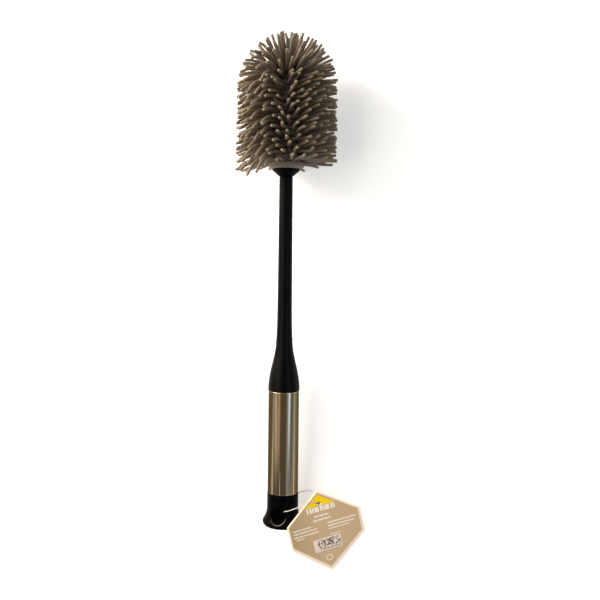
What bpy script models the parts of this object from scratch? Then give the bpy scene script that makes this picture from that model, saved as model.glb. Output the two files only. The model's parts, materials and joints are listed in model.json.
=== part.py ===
"""Silicone toilet brush with a steel grip sleeve, a hanging hole and a card swing tag.

The brush lies on a flat surface, on the lip of its end cap and on the lowest bristles of
its head. World +Z is up, and the head points along +Y. Each piece of the brush is drawn
upright on the brush's own axis, measured up from the flat bottom of the end cap, and an
empty lays them all down.
"""

import math

import bmesh
import bpy
import numpy as np
from mathutils import Matrix, Vector

MM = 0.001
TURN_STEPS = 40            # facets round a turned piece
SMALL_TURN_STEPS = 24      # facets round a thin one
GAP = 0.3 * MM             # between pieces that touch
WELD = 0.01 * MM           # points closer than this become one
END_BEVEL = 0.6 * MM       # on the ends of spigots and of the rod

# Grip sleeve, a thin steel tube round the handle
SLEEVE_RADIUS = 12.25 * MM
SLEEVE_WALL = 0.5 * MM
SLEEVE_LENGTH = 81.3 * MM
SLEEVE_EDGE = 0.12 * MM
SHOULDER_STEP = 0.25 * MM  # how far the plastic stands proud of the steel

# End cap with its flared lip and hanging hole
CAP_HEIGHT = 26.2 * MM     # from the flat bottom to the sleeve's edge
LIP_RADIUS = 16.0 * MM
LIP_ROUND = 3.3 * MM
WAIST_HEIGHT = 14.5 * MM   # where the flare starts
HOLE_RADIUS = 5.8 * MM
HOLE_HEIGHT = 10.5 * MM
HOLE_MOUTH_DEPTH = 2.6 * MM  # the hole starts to widen this deep under the waist
HOLE_MOUTH_EASE = 0.4 * MM   # and is this much wider half-way out
HOLE_MOUTH_SLOPE = 0.3       # from there it widens by this share of the way out
CAP_SPIGOT_RADIUS = 7.7 * MM
CAP_SPIGOT_LENGTH = 24.0 * MM

# Stem: a core inside the sleeve, a flare above it, and a slim tapering tube
STEM_LENGTH = 170.6 * MM   # from the sleeve's edge to the neck
STEM_TIP_RADIUS = 5.4 * MM
STEM_TAPER = 0.5 * MM      # more radius at the top of the flare than at the tip
SWELL = 0.7 * MM           # soft swelling just above the flare
SWELL_FADE = 10.0 * MM
FLARE_START = 1.2 * MM     # above the sleeve's edge
FLARE_LENGTH = 40.0 * MM
FLARE_STEP = 0.1 * MM      # the flare's foot is this much fatter than the end cap
FLARE_RINGS = 11
FADE_RINGS = (6.0, 3.0, 2.0, 1.2, 0.6)  # heights above the flare, in SWELL_FADE
CORE_CLEARANCE = 0.3 * MM  # round the core, inside the sleeve
CORE_DEPTH = 76.0 * MM     # depth of the hollow that opens towards the end cap
ROD_RADIUS = 2.0 * MM
ROD_COVER = 0.5 * MM       # how far the rod's upper end stays below the neck
ROD_SEAT_DEPTH = 14.0 * MM  # how far the rod reaches down past the top of the core's hollow

# Neck: screw spigot, seal washer, and the collar of the head's core
SPIGOT_RADIUS = 3.2 * MM
SPIGOT_LENGTH = 10.0 * MM
NECK_EDGE = 0.3 * MM
SEAL_THICKNESS = 0.8 * MM
SEAL_RADIUS = 5.3 * MM
COLLAR_NECK_RADIUS = 5.5 * MM
COLLAR_RADIUS = 11.3 * MM
COLLAR_HEIGHT = 5.4 * MM
COLLAR_EDGE = 0.5 * MM
SOCKET_DEPTH = 58.0 * MM   # the plug is cored out above the screw, for an even wall

# Bristle head: a rubber shell over the core, with a rim and bristles
RIM_RADIUS = 14.6 * MM
RIM_HEIGHT = 5.3 * MM
RIM_CHAMFER = 2.0 * MM
RIM_ROUND = 0.6 * MM
RIM_LIP = 0.4 * MM         # the rim's mouth is this much wider than the shell's bore
RIM_FOOT = 0.8 * MM        # and the shell starts this far above it
SHELL_RADIUS = 13.0 * MM
SHELL_WALL = 2.5 * MM
DOME_CENTRE = 70.6 * MM    # above the rim's bottom
SHELL_RINGS = 6            # round a quarter of the dome
TIP_RADIUS = 41.0 * MM
BRISTLE_WIDTH = 2.3 * MM
BRISTLE_CORNERS = (100, 220, 340)  # degrees, turned clear of the shell's own edges
BRISTLE_ROOT_SINK = 1.0 * MM
BRISTLE_TIP_SHARE = 0.82   # tip thickness as a share of the root's
BRISTLE_DROOP = 3.2 * MM   # at the tip, on the side that hung lowest
DROOP_SIDE = math.radians(196)
BOTTOM_SPLAY = 5.0 * MM    # more droop at the tips of the lowest row, on every side
SPLAY_REACH = 6.0 * MM     # the height over which it fades by a factor of e
BRISTLES_ROUND = 20
BRISTLE_ROWS = 13
FIRST_ROW = 6.6 * MM       # above the rim's bottom
DOME_RINGS = 7             # the last is the single bristle on the dome's top
DOME_EXTRA = 0.6           # bristles in a ring beyond what its width alone would give
FLAT_CUT = 0.5 * MM        # the lowest tips are cut by this, where the head rests

# Swing tag: two card leaves and a sticker
TAG_HALF_WIDTH = 28.7 * MM
TAG_SIDE = 20.2 * MM
TAG_TOP_RISE = 23.0 * MM
TAG_BOTTOM_RISE = 25.3 * MM
TAG_TOP_SHIFT = -1.15 * MM   # how far the top corner is from the middle
TAG_BOTTOM_SHIFT = -2.1 * MM  # and the bottom corner
CARD = 0.45 * MM
TAG_HOLE_RADIUS = 1.8 * MM
TAG_HOLE_STEPS = 12
TAG_HOLE_INSET = 10.3 * MM
LEAF_SLIP = (0.2 * MM, -0.9 * MM)
BACK_LEAF_SCALE = 1.05     # the back leaf is cut this much larger
TAG_TILT = math.radians(31.14)
TAG_TURN = math.radians(31.8)
TAG_SPIN = math.radians(44.7)
TAG_ALONG = 19.7 * MM
LABEL_SIZE = (22.7 * MM, 11.0 * MM)
LABEL_THICKNESS = 0.2 * MM
LABEL_CENTRE = (-0.8 * MM, -12.8 * MM)
LABEL_TURN = math.radians(0.8)

# Thread loop between the tag and the hanging hole
THREAD_RADIUS = 0.35 * MM
THREAD_STEP = 1.9 * MM
KNOT_RADIUS = 1.0 * MM
KNOT_STEPS = (12, 8)
# The thread's route in millimetres, on the surface's own axes: Y runs from the cap's end
THREAD_ROUTE = [
    (31.1, 22.0, 23.3),
    (31.8, 21.6, 24.8),
    (32.1, 21.3, 26.1),
    (30.7, 22.0, 27.1),
    (28.5, 22.5, 28.4),
    (26.9, 22.7, 29.5),
    (23.8, 22.4, 31.0),
    (20.1, 20.3, 31.2),
    (16.1, 18.0, 30.3),
    (9.9, 14.9, 29.5),
    (6.9, 13.9, 29.3),
    (5.2, 13.5, 29.1),
    (4.35, 12.85, 28.9),
    (3.95, 12.5, 27.6),
    (3.7, 11.9, 24.0),
    (3.9, 11.0, 16.8),
    (4.1, 10.6, 9.8),
    (4.5, 11.3, 6.0),
    (5.4, 13.7, 3.6),
    (6.4, 17.7, 2.9),
    (7.9, 21.6, 3.7),
    (10.2, 23.9, 4.9),
    (13.6, 25.4, 6.9),
    (18.4, 27.1, 9.8),
    (22.4, 27.6, 12.9),
    (26.6, 27.2, 16.1),
    (29.2, 25.0, 18.7),
    (29.9, 23.0, 20.8),
]

# Stations up the brush's axis
SLEEVE_BOTTOM = CAP_HEIGHT + GAP
SLEEVE_TOP = SLEEVE_BOTTOM + SLEEVE_LENGTH
SHOULDER = SLEEVE_TOP + GAP
NECK = SHOULDER + STEM_LENGTH
SEAL_BOTTOM = NECK + GAP
COLLAR_BOTTOM = SEAL_BOTTOM + SEAL_THICKNESS + GAP
COLLAR_TOP = COLLAR_BOTTOM + COLLAR_HEIGHT
RIM_BOTTOM = COLLAR_TOP + GAP
DOME_Z = RIM_BOTTOM + DOME_CENTRE

BODY_RADIUS = SLEEVE_RADIUS + SHOULDER_STEP
CORE_RADIUS = SLEEVE_RADIUS - SLEEVE_WALL - CORE_CLEARANCE
HOLLOW_RADIUS = CAP_SPIGOT_RADIUS + GAP
PLUG_RADIUS = (SHELL_RADIUS - SHELL_WALL) * math.cos(math.pi / BRISTLES_ROUND) - GAP
FLARE_TOP = SHOULDER + FLARE_START + FLARE_LENGTH
HOLLOW_TOP = SLEEVE_BOTTOM + CORE_DEPTH
ROD_TOP = NECK - ROD_COVER
FLARE_RADIUS = BODY_RADIUS + FLARE_STEP


def clear_scene():
    for thing in list(bpy.data.objects):
        bpy.data.objects.remove(thing, do_unlink=True)


def collection(name):
    made = bpy.data.collections.new(name)
    bpy.context.scene.collection.children.link(made)
    return made


def material(name, colour, roughness, metallic=0.0):
    made = bpy.data.materials.new(name)
    made.use_nodes = True
    shader = made.node_tree.nodes["Principled BSDF"]
    shader.inputs["Base Color"].default_value = (*colour, 1.0)
    shader.inputs["Roughness"].default_value = roughness
    shader.inputs["Metallic"].default_value = metallic
    return made


def arc(centre, radius, start, end, count):
    """Points (r, z) on an arc, from one angle to another, in degrees."""
    angles = np.radians(np.linspace(start, end, count))
    return [(centre[0] + radius * math.cos(a), centre[1] + radius * math.sin(a)) for a in angles]


def add_object(name, data, home, parent):
    made = bpy.data.objects.new(name, data)
    home.objects.link(made)
    made.parent = parent
    return made


def turned(name, profile, home, parent, steps=TURN_STEPS, closed=False):
    """A profile of (r, z) points that runs down its outer side, turned round Z."""
    mesh = bpy.data.meshes.new(name)
    edges = [(i, i + 1) for i in range(len(profile) - 1)]
    if closed:
        edges.append((len(profile) - 1, 0))
    mesh.from_pydata([(r, 0.0, z) for r, z in profile], edges, [])
    made = add_object(name, mesh, home, parent)
    screw = made.modifiers.new("turn", "SCREW")
    screw.axis = "Z"
    screw.angle = 2 * math.pi
    screw.steps = steps
    screw.render_steps = steps
    screw.use_merge_vertices = True
    screw.merge_threshold = WELD
    return made


def cut(piece, cutter, operation="DIFFERENCE"):
    boolean = piece.modifiers.new(operation.lower() + "_" + cutter.name, "BOOLEAN")
    boolean.operation = operation
    boolean.object = cutter
    boolean.solver = "EXACT"
    return boolean


def as_cutter(thing):
    thing.hide_render = True
    thing.display_type = "WIRE"
    return thing


def curve_to_mesh(thing, home):
    """Replaces a curve by its mesh, with the caps welded on."""
    depsgraph = bpy.context.evaluated_depsgraph_get()
    mesh = bpy.data.meshes.new_from_object(thing.evaluated_get(depsgraph))
    bm = bmesh.new()
    bm.from_mesh(mesh)
    bmesh.ops.remove_doubles(bm, verts=bm.verts, dist=WELD)
    bmesh.ops.recalc_face_normals(bm, faces=bm.faces)
    bm.to_mesh(mesh)
    bm.free()
    name = thing.name
    made = bpy.data.objects.new(name + "_mesh", mesh)
    home.objects.link(made)
    made.parent = thing.parent
    made.matrix_world = thing.matrix_world.copy()
    bpy.data.objects.remove(thing, do_unlink=True)
    made.name = name
    return made


def poly_curve(name, home, parent):
    data = bpy.data.curves.new(name, "CURVE")
    data.dimensions = "3D"
    data.use_fill_caps = True
    data.bevel_resolution = 2
    return add_object(name, data, home, parent)


def add_spline(curve, points, radii=None, cyclic=False):
    spline = curve.splines.new("POLY")
    spline.points.add(len(points) - 1)
    for k, point in enumerate(points):
        spline.points[k].co = (*point, 1.0)
        if radii is not None:
            spline.points[k].radius = radii[k]
    spline.use_cyclic_u = cyclic
    return spline


def flat_outline(name, loops, thickness, home, parent):
    """A plate cut to closed outlines; the second and later ones are holes."""
    data = bpy.data.curves.new(name, "CURVE")
    data.dimensions = "2D"
    data.fill_mode = "BOTH"
    data.extrude = thickness / 2
    for loop in loops:
        add_spline(data, [(x, y, 0.0) for x, y in loop], cyclic=True)
    return add_object(name, data, home, parent)


def cap_outline():
    """The cap's side: a straight waist, a hollow flare and a rounded lip, tangent to each other."""
    lip = (LIP_RADIUS - LIP_ROUND, LIP_ROUND)
    drop = WAIST_HEIGHT - lip[1]
    inset = BODY_RADIUS - lip[0]
    flare = (drop**2 + inset**2 - LIP_ROUND**2) / (2 * (LIP_ROUND - inset))
    meet = math.degrees(math.asin(drop / (flare + LIP_ROUND)))
    centre = (BODY_RADIUS + flare, WAIST_HEIGHT)
    return arc(centre, flare, 180, 180 + meet, 6) + arc(lip, LIP_ROUND, meet, -90, 7)[1:]


def make_end_cap(home, cutters, axis):
    top = CAP_HEIGHT + CAP_SPIGOT_LENGTH
    profile = [(0.0, top), (CAP_SPIGOT_RADIUS - END_BEVEL, top)]
    profile += [(CAP_SPIGOT_RADIUS, top - END_BEVEL), (CAP_SPIGOT_RADIUS, CAP_HEIGHT)]
    profile += [(BODY_RADIUS, CAP_HEIGHT)] + cap_outline() + [(0.0, 0.0)]
    cap = turned("end_cap", profile, home, axis)

    reach = LIP_RADIUS + HOLE_RADIUS
    start = BODY_RADIUS - HOLE_MOUTH_DEPTH
    turn = BODY_RADIUS - HOLE_MOUTH_DEPTH / 2
    mouth = HOLE_RADIUS + HOLE_MOUTH_EASE
    wide = mouth + (reach - turn) * HOLE_MOUTH_SLOPE
    half = [(wide, reach), (mouth, turn), (HOLE_RADIUS, start)]
    side = [(0.0, reach)] + half + [(r, -y) for r, y in half[::-1]] + [(0.0, -reach)]
    cutter = as_cutter(turned("hanging_hole", side, cutters, axis, SMALL_TURN_STEPS))
    cutter.location = (0.0, 0.0, HOLE_HEIGHT)
    cutter.rotation_euler = (math.pi / 2, 0.0, 0.0)
    cut(cap, cutter)
    return cap


def stem_radius(z):
    """Tapering tube, plus a swelling that fades upwards, plus the flare's half wave."""
    up = max(z - FLARE_TOP, 0.0)
    taper = STEM_TAPER * min((NECK - z) / (NECK - FLARE_TOP), 1.0)
    tube = STEM_TIP_RADIUS + taper + SWELL * math.exp(-up / SWELL_FADE)
    share = min(max((z - SHOULDER - FLARE_START) / FLARE_LENGTH, 0.0), 1.0)
    flare = FLARE_RADIUS - STEM_TIP_RADIUS - STEM_TAPER - SWELL
    return tube + flare * (0.5 + 0.5 * math.cos(math.pi * share))


def make_stem(home, axis):
    """One turned piece, with a wide hollow for the end cap's spigot and a bore for the rod."""
    heights = [NECK - NECK_EDGE] + [FLARE_TOP + SWELL_FADE * share for share in FADE_RINGS]
    heights += list(np.linspace(FLARE_TOP, SHOULDER + FLARE_START, FLARE_RINGS))
    spigot_top = NECK + SPIGOT_LENGTH
    bore = ROD_RADIUS + GAP
    profile = [(0.0, spigot_top), (SPIGOT_RADIUS - END_BEVEL, spigot_top)]
    profile += [(SPIGOT_RADIUS, spigot_top - END_BEVEL), (SPIGOT_RADIUS, NECK)]
    profile += [(STEM_TIP_RADIUS - NECK_EDGE, NECK)]
    profile += [(stem_radius(z), z) for z in heights]
    profile += [(FLARE_RADIUS, SHOULDER), (CORE_RADIUS, SHOULDER)]
    profile += [(CORE_RADIUS, SLEEVE_BOTTOM), (HOLLOW_RADIUS, SLEEVE_BOTTOM)]
    profile += [(HOLLOW_RADIUS, HOLLOW_TOP), (bore, HOLLOW_TOP), (bore, ROD_TOP + GAP)]
    profile += [(0.0, ROD_TOP + GAP)]
    return turned("stem", profile, home, axis)


def make_rod(home, axis):
    bottom = HOLLOW_TOP - ROD_SEAT_DEPTH
    inner = ROD_RADIUS - END_BEVEL
    profile = [(0.0, ROD_TOP), (inner, ROD_TOP), (ROD_RADIUS, ROD_TOP - END_BEVEL)]
    profile += [(ROD_RADIUS, bottom + END_BEVEL), (inner, bottom), (0.0, bottom)]
    return turned("stiffening_rod", profile, home, axis, SMALL_TURN_STEPS)


def make_sleeve(home, axis):
    inner = SLEEVE_RADIUS - SLEEVE_WALL
    outer = SLEEVE_RADIUS - SLEEVE_EDGE
    profile = [(outer, SLEEVE_TOP), (SLEEVE_RADIUS, SLEEVE_TOP - SLEEVE_EDGE)]
    profile += [(SLEEVE_RADIUS, SLEEVE_BOTTOM + SLEEVE_EDGE), (outer, SLEEVE_BOTTOM)]
    profile += [(inner, SLEEVE_BOTTOM), (inner, SLEEVE_TOP)]
    return turned("grip_sleeve", profile, home, axis, closed=True)


def make_neck_seal(home, axis):
    inner = SPIGOT_RADIUS + GAP
    top = SEAL_BOTTOM + SEAL_THICKNESS
    profile = [(SEAL_RADIUS, top), (SEAL_RADIUS, SEAL_BOTTOM), (inner, SEAL_BOTTOM), (inner, top)]
    return turned("neck_seal", profile, home, axis, SMALL_TURN_STEPS, closed=True)


def make_head_core(home, axis):
    bore = SPIGOT_RADIUS + GAP
    bore_top = COLLAR_BOTTOM + SOCKET_DEPTH
    dome = arc((0.0, DOME_Z), PLUG_RADIUS, 90, 0, SHELL_RINGS)
    profile = [(0.0, DOME_Z + PLUG_RADIUS)] + dome[1:]
    profile += [(PLUG_RADIUS, COLLAR_TOP), (COLLAR_RADIUS, COLLAR_TOP)]
    profile += [(COLLAR_RADIUS, COLLAR_TOP - COLLAR_EDGE), (COLLAR_NECK_RADIUS, COLLAR_BOTTOM)]
    profile += [(bore, COLLAR_BOTTOM), (bore, bore_top), (0.0, bore_top)]
    return turned("head_core", profile, home, axis)


def bristle_layout():
    """Slope, turn and height of every bristle: rows up the cylinder, then rings over the dome.

    The rows stagger by half a pitch, and the lowest row is even about the side it rests on.
    """
    found = []
    half_pitch = math.pi / BRISTLES_ROUND
    row_pitch = (DOME_CENTRE - FIRST_ROW) / (BRISTLE_ROWS - 1)
    for row in range(BRISTLE_ROWS):
        z = RIM_BOTTOM + FIRST_ROW + row * row_pitch
        for k in range(BRISTLES_ROUND):
            found.append((0.0, math.pi / 2 + half_pitch * (2 * k + (row + 1) % 2), z))
    for ring in range(1, DOME_RINGS + 1):
        slope = math.pi / 2 * ring / DOME_RINGS
        count = round(BRISTLES_ROUND * math.cos(slope) + DOME_EXTRA)
        for k in range(count):
            turn = math.pi / 2 + 2 * math.pi * (k + 0.5 * (ring % 2)) / count
            found.append((slope, turn, DOME_Z))
    return found


def bristle_points(slope, turn, z):
    """Three points of a bristle: it leaves the shell square and droops towards the handle."""
    flat = math.cos(slope)
    out = Vector((math.cos(turn) * flat, math.sin(turn) * flat, math.sin(slope)))
    side = 0.5 + 0.5 * math.cos(turn - DROOP_SIDE)
    splay = BOTTOM_SPLAY * math.exp((RIM_BOTTOM + FIRST_ROW - z) / SPLAY_REACH)
    droop = (BRISTLE_DROOP * side + splay) * flat
    start = SHELL_RADIUS - BRISTLE_ROOT_SINK
    centre = Vector((0.0, 0.0, z))
    points = []
    for share in (0.0, 0.5, 1.0):
        reach = start + (TIP_RADIUS - start) * share
        arch = droop * (share - 2 * share**2)
        points.append(centre + out * reach + Vector((0.0, 0.0, arch)))
    return points


def least_gap(strands, samples=9):
    """The least distance between the centre lines of two bristles, on sampled points."""
    shares = np.linspace(0, 1, samples)[:, None]
    lines = []
    for points in strands:
        a, b, c = (np.array(p) for p in points)
        first = a + (b - a) * shares
        second = b + (c - b) * shares[1:]
        lines.append(np.vstack([first, second]))
    lines = np.array(lines)
    least = 1.0
    for k in range(len(lines) - 1):
        away = lines[k][:, None, None, :] - lines[k + 1:][None]
        least = min(least, float(np.sqrt((away**2).sum(-1)).min()))
    return least


def make_rim(cutters, axis):
    """The thicker ring at the shell's foot, chamfered to carry on the collar's cone."""
    top = RIM_BOTTOM + RIM_HEIGHT
    profile = [(SHELL_RADIUS - SHELL_WALL / 2, top), (RIM_RADIUS - RIM_ROUND, top)]
    profile += [(RIM_RADIUS, top - RIM_ROUND), (RIM_RADIUS, RIM_BOTTOM + RIM_CHAMFER)]
    profile += [(COLLAR_RADIUS + GAP, RIM_BOTTOM)]
    profile += [(SHELL_RADIUS - SHELL_WALL + RIM_LIP, RIM_BOTTOM)]
    return as_cutter(turned("rim", profile, cutters, axis, closed=True))


def make_bristle_head(home, cutters, axis, table):
    inner = SHELL_RADIUS - SHELL_WALL
    foot = RIM_BOTTOM + RIM_FOOT
    outside = arc((0.0, DOME_Z), SHELL_RADIUS, 90, 0, SHELL_RINGS)
    inside = arc((0.0, DOME_Z), inner, 0, 90, SHELL_RINGS)
    profile = [(0.0, DOME_Z + SHELL_RADIUS)] + outside[1:]
    profile += [(SHELL_RADIUS, RIM_BOTTOM + RIM_CHAMFER), (COLLAR_RADIUS, foot), (inner, foot)]
    profile += inside[:-1] + [(0.0, DOME_Z + inner)]
    head = turned("bristle_head", profile, home, axis, BRISTLES_ROUND)

    triangle = bpy.data.curves.new("bristle_section", "CURVE")
    triangle.dimensions = "2D"
    corner = BRISTLE_WIDTH / math.sqrt(3)
    turns = [math.radians(a) for a in BRISTLE_CORNERS]
    loop = [(corner * math.cos(a), corner * math.sin(a), 0.0) for a in turns]
    add_spline(triangle, loop, cyclic=True)
    section = as_cutter(add_object("bristle_section", triangle, cutters, None))
    strands = poly_curve("bristle_strands", cutters, axis)
    strands.data.bevel_mode = "OBJECT"
    strands.data.bevel_object = section
    layout = [bristle_points(*spot) for spot in bristle_layout()]
    middle = (1 + BRISTLE_TIP_SHARE) / 2
    for points in layout:
        add_spline(strands.data, points, (1.0, middle, BRISTLE_TIP_SHARE))
    bpy.context.view_layer.update()
    strands = as_cutter(curve_to_mesh(strands, cutters))
    bpy.data.objects.remove(section, do_unlink=True)
    cut(head, strands, "UNION")
    cut(head, make_rim(cutters, axis), "UNION")
    cut(head, resting_block(cutters, table))
    print("bristles", len(layout), "least distance of centre lines", least_gap(layout) / MM, "mm")
    return head


def resting_block(cutters, table):
    """A block with its top on the resting surface, as wide and long as the whole brush."""
    mesh = bpy.data.meshes.new("surface_block")
    bm = bmesh.new()
    bmesh.ops.create_cube(bm, size=1.0)
    bm.to_mesh(mesh)
    bm.free()
    size = 2 * (DOME_Z + TIP_RADIUS)
    mesh.transform(Matrix.Diagonal((size, size, TIP_RADIUS, 1.0)))
    block = as_cutter(add_object("surface_block", mesh, cutters, table))
    block.location.z = -TIP_RADIUS / 2
    return block


def hexagon(scale=1.0):
    """The tag's corners, from its top one round by its right side."""
    upper = TAG_SIDE / 2
    corners = [
        (TAG_TOP_SHIFT, upper + TAG_TOP_RISE),
        (TAG_HALF_WIDTH, upper),
        (TAG_HALF_WIDTH, -upper),
        (TAG_BOTTOM_SHIFT, -upper - TAG_BOTTOM_RISE),
        (-TAG_HALF_WIDTH, -upper),
        (-TAG_HALF_WIDTH, upper),
    ]
    return [(x * scale, y * scale) for x, y in corners]


def back_outline():
    """The back leaf's corners where it has slipped to."""
    return [(x + LEAF_SLIP[0], y + LEAF_SLIP[1]) for x, y in hexagon(BACK_LEAF_SCALE)]


def tag_hole():
    return (TAG_TOP_SHIFT, TAG_SIDE / 2 + TAG_TOP_RISE - TAG_HOLE_INSET)


def circle(centre, radius, count):
    turns = [2 * math.pi * k / count for k in range(count)]
    return [(centre[0] + radius * math.cos(a), centre[1] + radius * math.sin(a)) for a in turns]


def lay_angle():
    """The brush's slope when its lip and its lowest bristle tip, less the cut, touch the surface."""
    steepest = 0.0
    for spot in bristle_layout():
        tip = bristle_points(*spot)[-1]
        along = tip.z - LIP_ROUND
        across = tip.y - (LIP_RADIUS - LIP_ROUND)
        under = math.asin((LIP_ROUND + FLAT_CUT) / math.hypot(along, across))
        steepest = max(steepest, math.atan2(across, along) - under)
    return steepest


def lay_down(axis, cap):
    """Turns the brush onto its side and lifts it until the cap's lip touches z = 0."""
    axis.rotation_euler = (lay_angle() - math.pi / 2, 0.0, 0.0)
    bpy.context.view_layer.update()
    depsgraph = bpy.context.evaluated_depsgraph_get()
    mesh = cap.evaluated_get(depsgraph).data
    lowest = min((axis.matrix_world @ v.co).z for v in mesh.vertices)
    axis.location.z -= lowest
    bpy.context.view_layer.update()


def tag_matrix(axis):
    """The plane under the tag: it leans on the cap's lip, and its lowest corner is near the surface."""
    down = Vector((math.cos(TAG_TURN), -math.sin(TAG_TURN), 0.0))
    side = Vector((math.sin(TAG_TURN), math.cos(TAG_TURN), 0.0))
    slope = down * math.cos(TAG_TILT) - Vector((0, 0, math.sin(TAG_TILT)))
    normal = down * math.sin(TAG_TILT) + Vector((0, 0, math.cos(TAG_TILT)))
    upward = side * math.cos(TAG_SPIN) - slope * math.sin(TAG_SPIN)
    across = upward.cross(normal)
    lip = axis.matrix_world @ Vector((0.0, 0.0, LIP_ROUND))
    in_brush = axis.matrix_world.to_3x3().transposed() @ normal
    reach = (LIP_RADIUS - LIP_ROUND) * math.hypot(in_brush.x, in_brush.y) + LIP_ROUND
    height = normal.dot(lip) + reach + GAP
    base = normal * height + side * TAG_ALONG
    corners = [across * x + upward * y for x, y in back_outline()]
    drop = (base.z + min(c.z for c in corners) - GAP) / math.sin(TAG_TILT)
    turn = Matrix((across, upward, normal)).transposed().to_4x4()
    return Matrix.Translation(base + slope * drop) @ turn


def make_leaf(name, outline, lift, home, parent):
    """One card leaf; both leaves share the hole's place, though the back one has slipped."""
    bore = circle(tag_hole(), TAG_HOLE_RADIUS, TAG_HOLE_STEPS)
    leaf = flat_outline(name, [outline, bore], CARD, home, parent)
    leaf.location = (0.0, 0.0, lift + CARD / 2)
    return leaf


def make_label(home, parent):
    wide, tall = LABEL_SIZE[0] / 2, LABEL_SIZE[1] / 2
    outline = [(-wide, -tall), (wide, -tall), (wide, tall), (-wide, tall)]
    label = flat_outline("price_label", [outline], LABEL_THICKNESS, home, parent)
    label.location = (*LABEL_CENTRE, 2 * (CARD + GAP) + LABEL_THICKNESS / 2)
    label.rotation_euler = (0.0, 0.0, LABEL_TURN)
    return label


def make_tag(home, table, axis):
    """The leaves and label hang from an empty at the tag's left corner, on its swing axis."""
    plane = tag_matrix(axis)
    corner = plane @ Vector((-TAG_HALF_WIDTH, TAG_SIDE / 2, 2 * CARD + GAP))
    swing = add_object("tag_swing", None, home, table)
    swing.location = corner
    swing.rotation_euler = axis.rotation_euler
    under = add_object("tag_plane", None, home, swing)
    bpy.context.view_layer.update()
    under.matrix_world = table.matrix_world @ plane
    back = make_leaf("tag_back", back_outline(), 0.0, home, under)
    front = make_leaf("tag_front", hexagon(), CARD + GAP, home, under)
    return swing, back, front, make_label(home, under)


def smooth_route(route, step):
    """Points a step apart on a Catmull-Rom curve through the route's points."""
    ends = [route[0] * 2 - route[1], *route, route[-1] * 2 - route[-2]]
    fine = []
    for a, b, c, d in zip(ends, ends[1:], ends[2:], ends[3:]):
        for t in np.linspace(0, 1, 40, endpoint=False):
            fine.append(
                (b * 2 + (c - a) * t + (a * 2 - b * 5 + c * 4 - d) * t**2
                 + (b * 3 - a - c * 3 + d) * t**3) * 0.5
            )
    fine.append(route[-1])
    away = np.cumsum([0.0] + [(q - p).length for p, q in zip(fine, fine[1:])])
    count = max(2, round(away[-1] / step) + 1)
    wanted = np.linspace(0, away[-1], count)
    place = np.array([tuple(p) for p in fine])
    line = np.stack([np.interp(wanted, away, place[:, k]) for k in range(3)], axis=1)
    print("thread length", away[-1] / MM, "mm in", count, "points")
    return line


def make_thread(home, table, swing):
    route = [Vector(p) * MM for p in THREAD_ROUTE]
    thread = poly_curve("tag_thread", home, table)
    thread.data.bevel_depth = THREAD_RADIUS
    add_spline(thread.data, smooth_route(route, THREAD_STEP))
    mesh = bpy.data.meshes.new("thread_knot")
    bm = bmesh.new()
    across, rings = KNOT_STEPS
    bmesh.ops.create_uvsphere(bm, u_segments=across, v_segments=rings, radius=KNOT_RADIUS)
    bm.to_mesh(mesh)
    bm.free()
    knot = add_object("thread_knot", mesh, home, swing)
    middle = Matrix.Translation((route[0] + route[-1]) / 2)
    bpy.context.view_layer.update()
    knot.matrix_world = table.matrix_world @ middle
    return thread, knot


def centre_lengthwise(table, pieces):
    """Slides everything along Y until the origin lies under the middle of the brush's box."""
    bpy.context.view_layer.update()
    depsgraph = bpy.context.evaluated_depsgraph_get()
    reach = []
    for piece in pieces:
        mesh = piece.evaluated_get(depsgraph).data
        reach += [(piece.matrix_world @ v.co).y for v in mesh.vertices]
    table.location.y = -(min(reach) + max(reach)) / 2
    bpy.context.view_layer.update()


def build():
    clear_scene()
    home = collection("toilet_brush")
    cutters = collection("cutters")
    table = add_object("resting_surface", None, home, None)
    axis = add_object("brush_axis", None, home, table)

    cap = make_end_cap(home, cutters, axis)
    lay_down(axis, cap)
    sleeve = make_sleeve(home, axis)
    stem = make_stem(home, axis)
    rod = make_rod(home, axis)
    seal = make_neck_seal(home, axis)
    core = make_head_core(home, axis)
    head = make_bristle_head(home, cutters, axis, table)
    swing, back, front, label = make_tag(home, table, axis)
    thread, knot = make_thread(home, table, swing)
    centre_lengthwise(table, (cap, sleeve, stem, core, head))
    print("brush slope", math.degrees(lay_angle()), "degrees")
    for empty in (axis, swing):
        place = empty.matrix_world
        print(empty.name, "is at", tuple(place.translation), "with Z along", tuple(place.col[2]))

    black = material("black_plastic", (0.012, 0.012, 0.013), 0.45)
    steel = material("brushed_steel", (0.62, 0.60, 0.57), 0.28, 1.0)
    rod_steel = material("rod_steel", (0.55, 0.55, 0.56), 0.4, 1.0)
    silicone = material("taupe_silicone", (0.17, 0.145, 0.12), 0.6)
    rubber = material("seal_rubber", (0.02, 0.02, 0.02), 0.8)
    card = material("tag_card", (0.42, 0.37, 0.31), 0.75)
    paper = material("label_paper", (0.85, 0.84, 0.82), 0.6)
    cotton = material("white_thread", (0.85, 0.84, 0.80), 0.85)
    finishes = {
        black: (cap, stem, core),
        steel: (sleeve,),
        rod_steel: (rod,),
        silicone: (head,),
        rubber: (seal,),
        card: (back, front),
        paper: (label,),
        cotton: (thread, knot),
    }
    for finish, pieces in finishes.items():
        for piece in pieces:
            piece.data.materials.append(finish)


build()
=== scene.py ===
# %% [markdown]
# # A silicone toilet brush and its swing tag
#
# The brush lies on a pale table, on the lip of its end cap and on its lowest bristles. The
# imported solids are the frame: they say where each piece is, and which body carries it when
# the head unscrews or the tag swings. In this file each piece gets the surface and the
# finish that the real one has. Everything is in metres, and MM turns millimetres into them.

# %% The frame
import json

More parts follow.
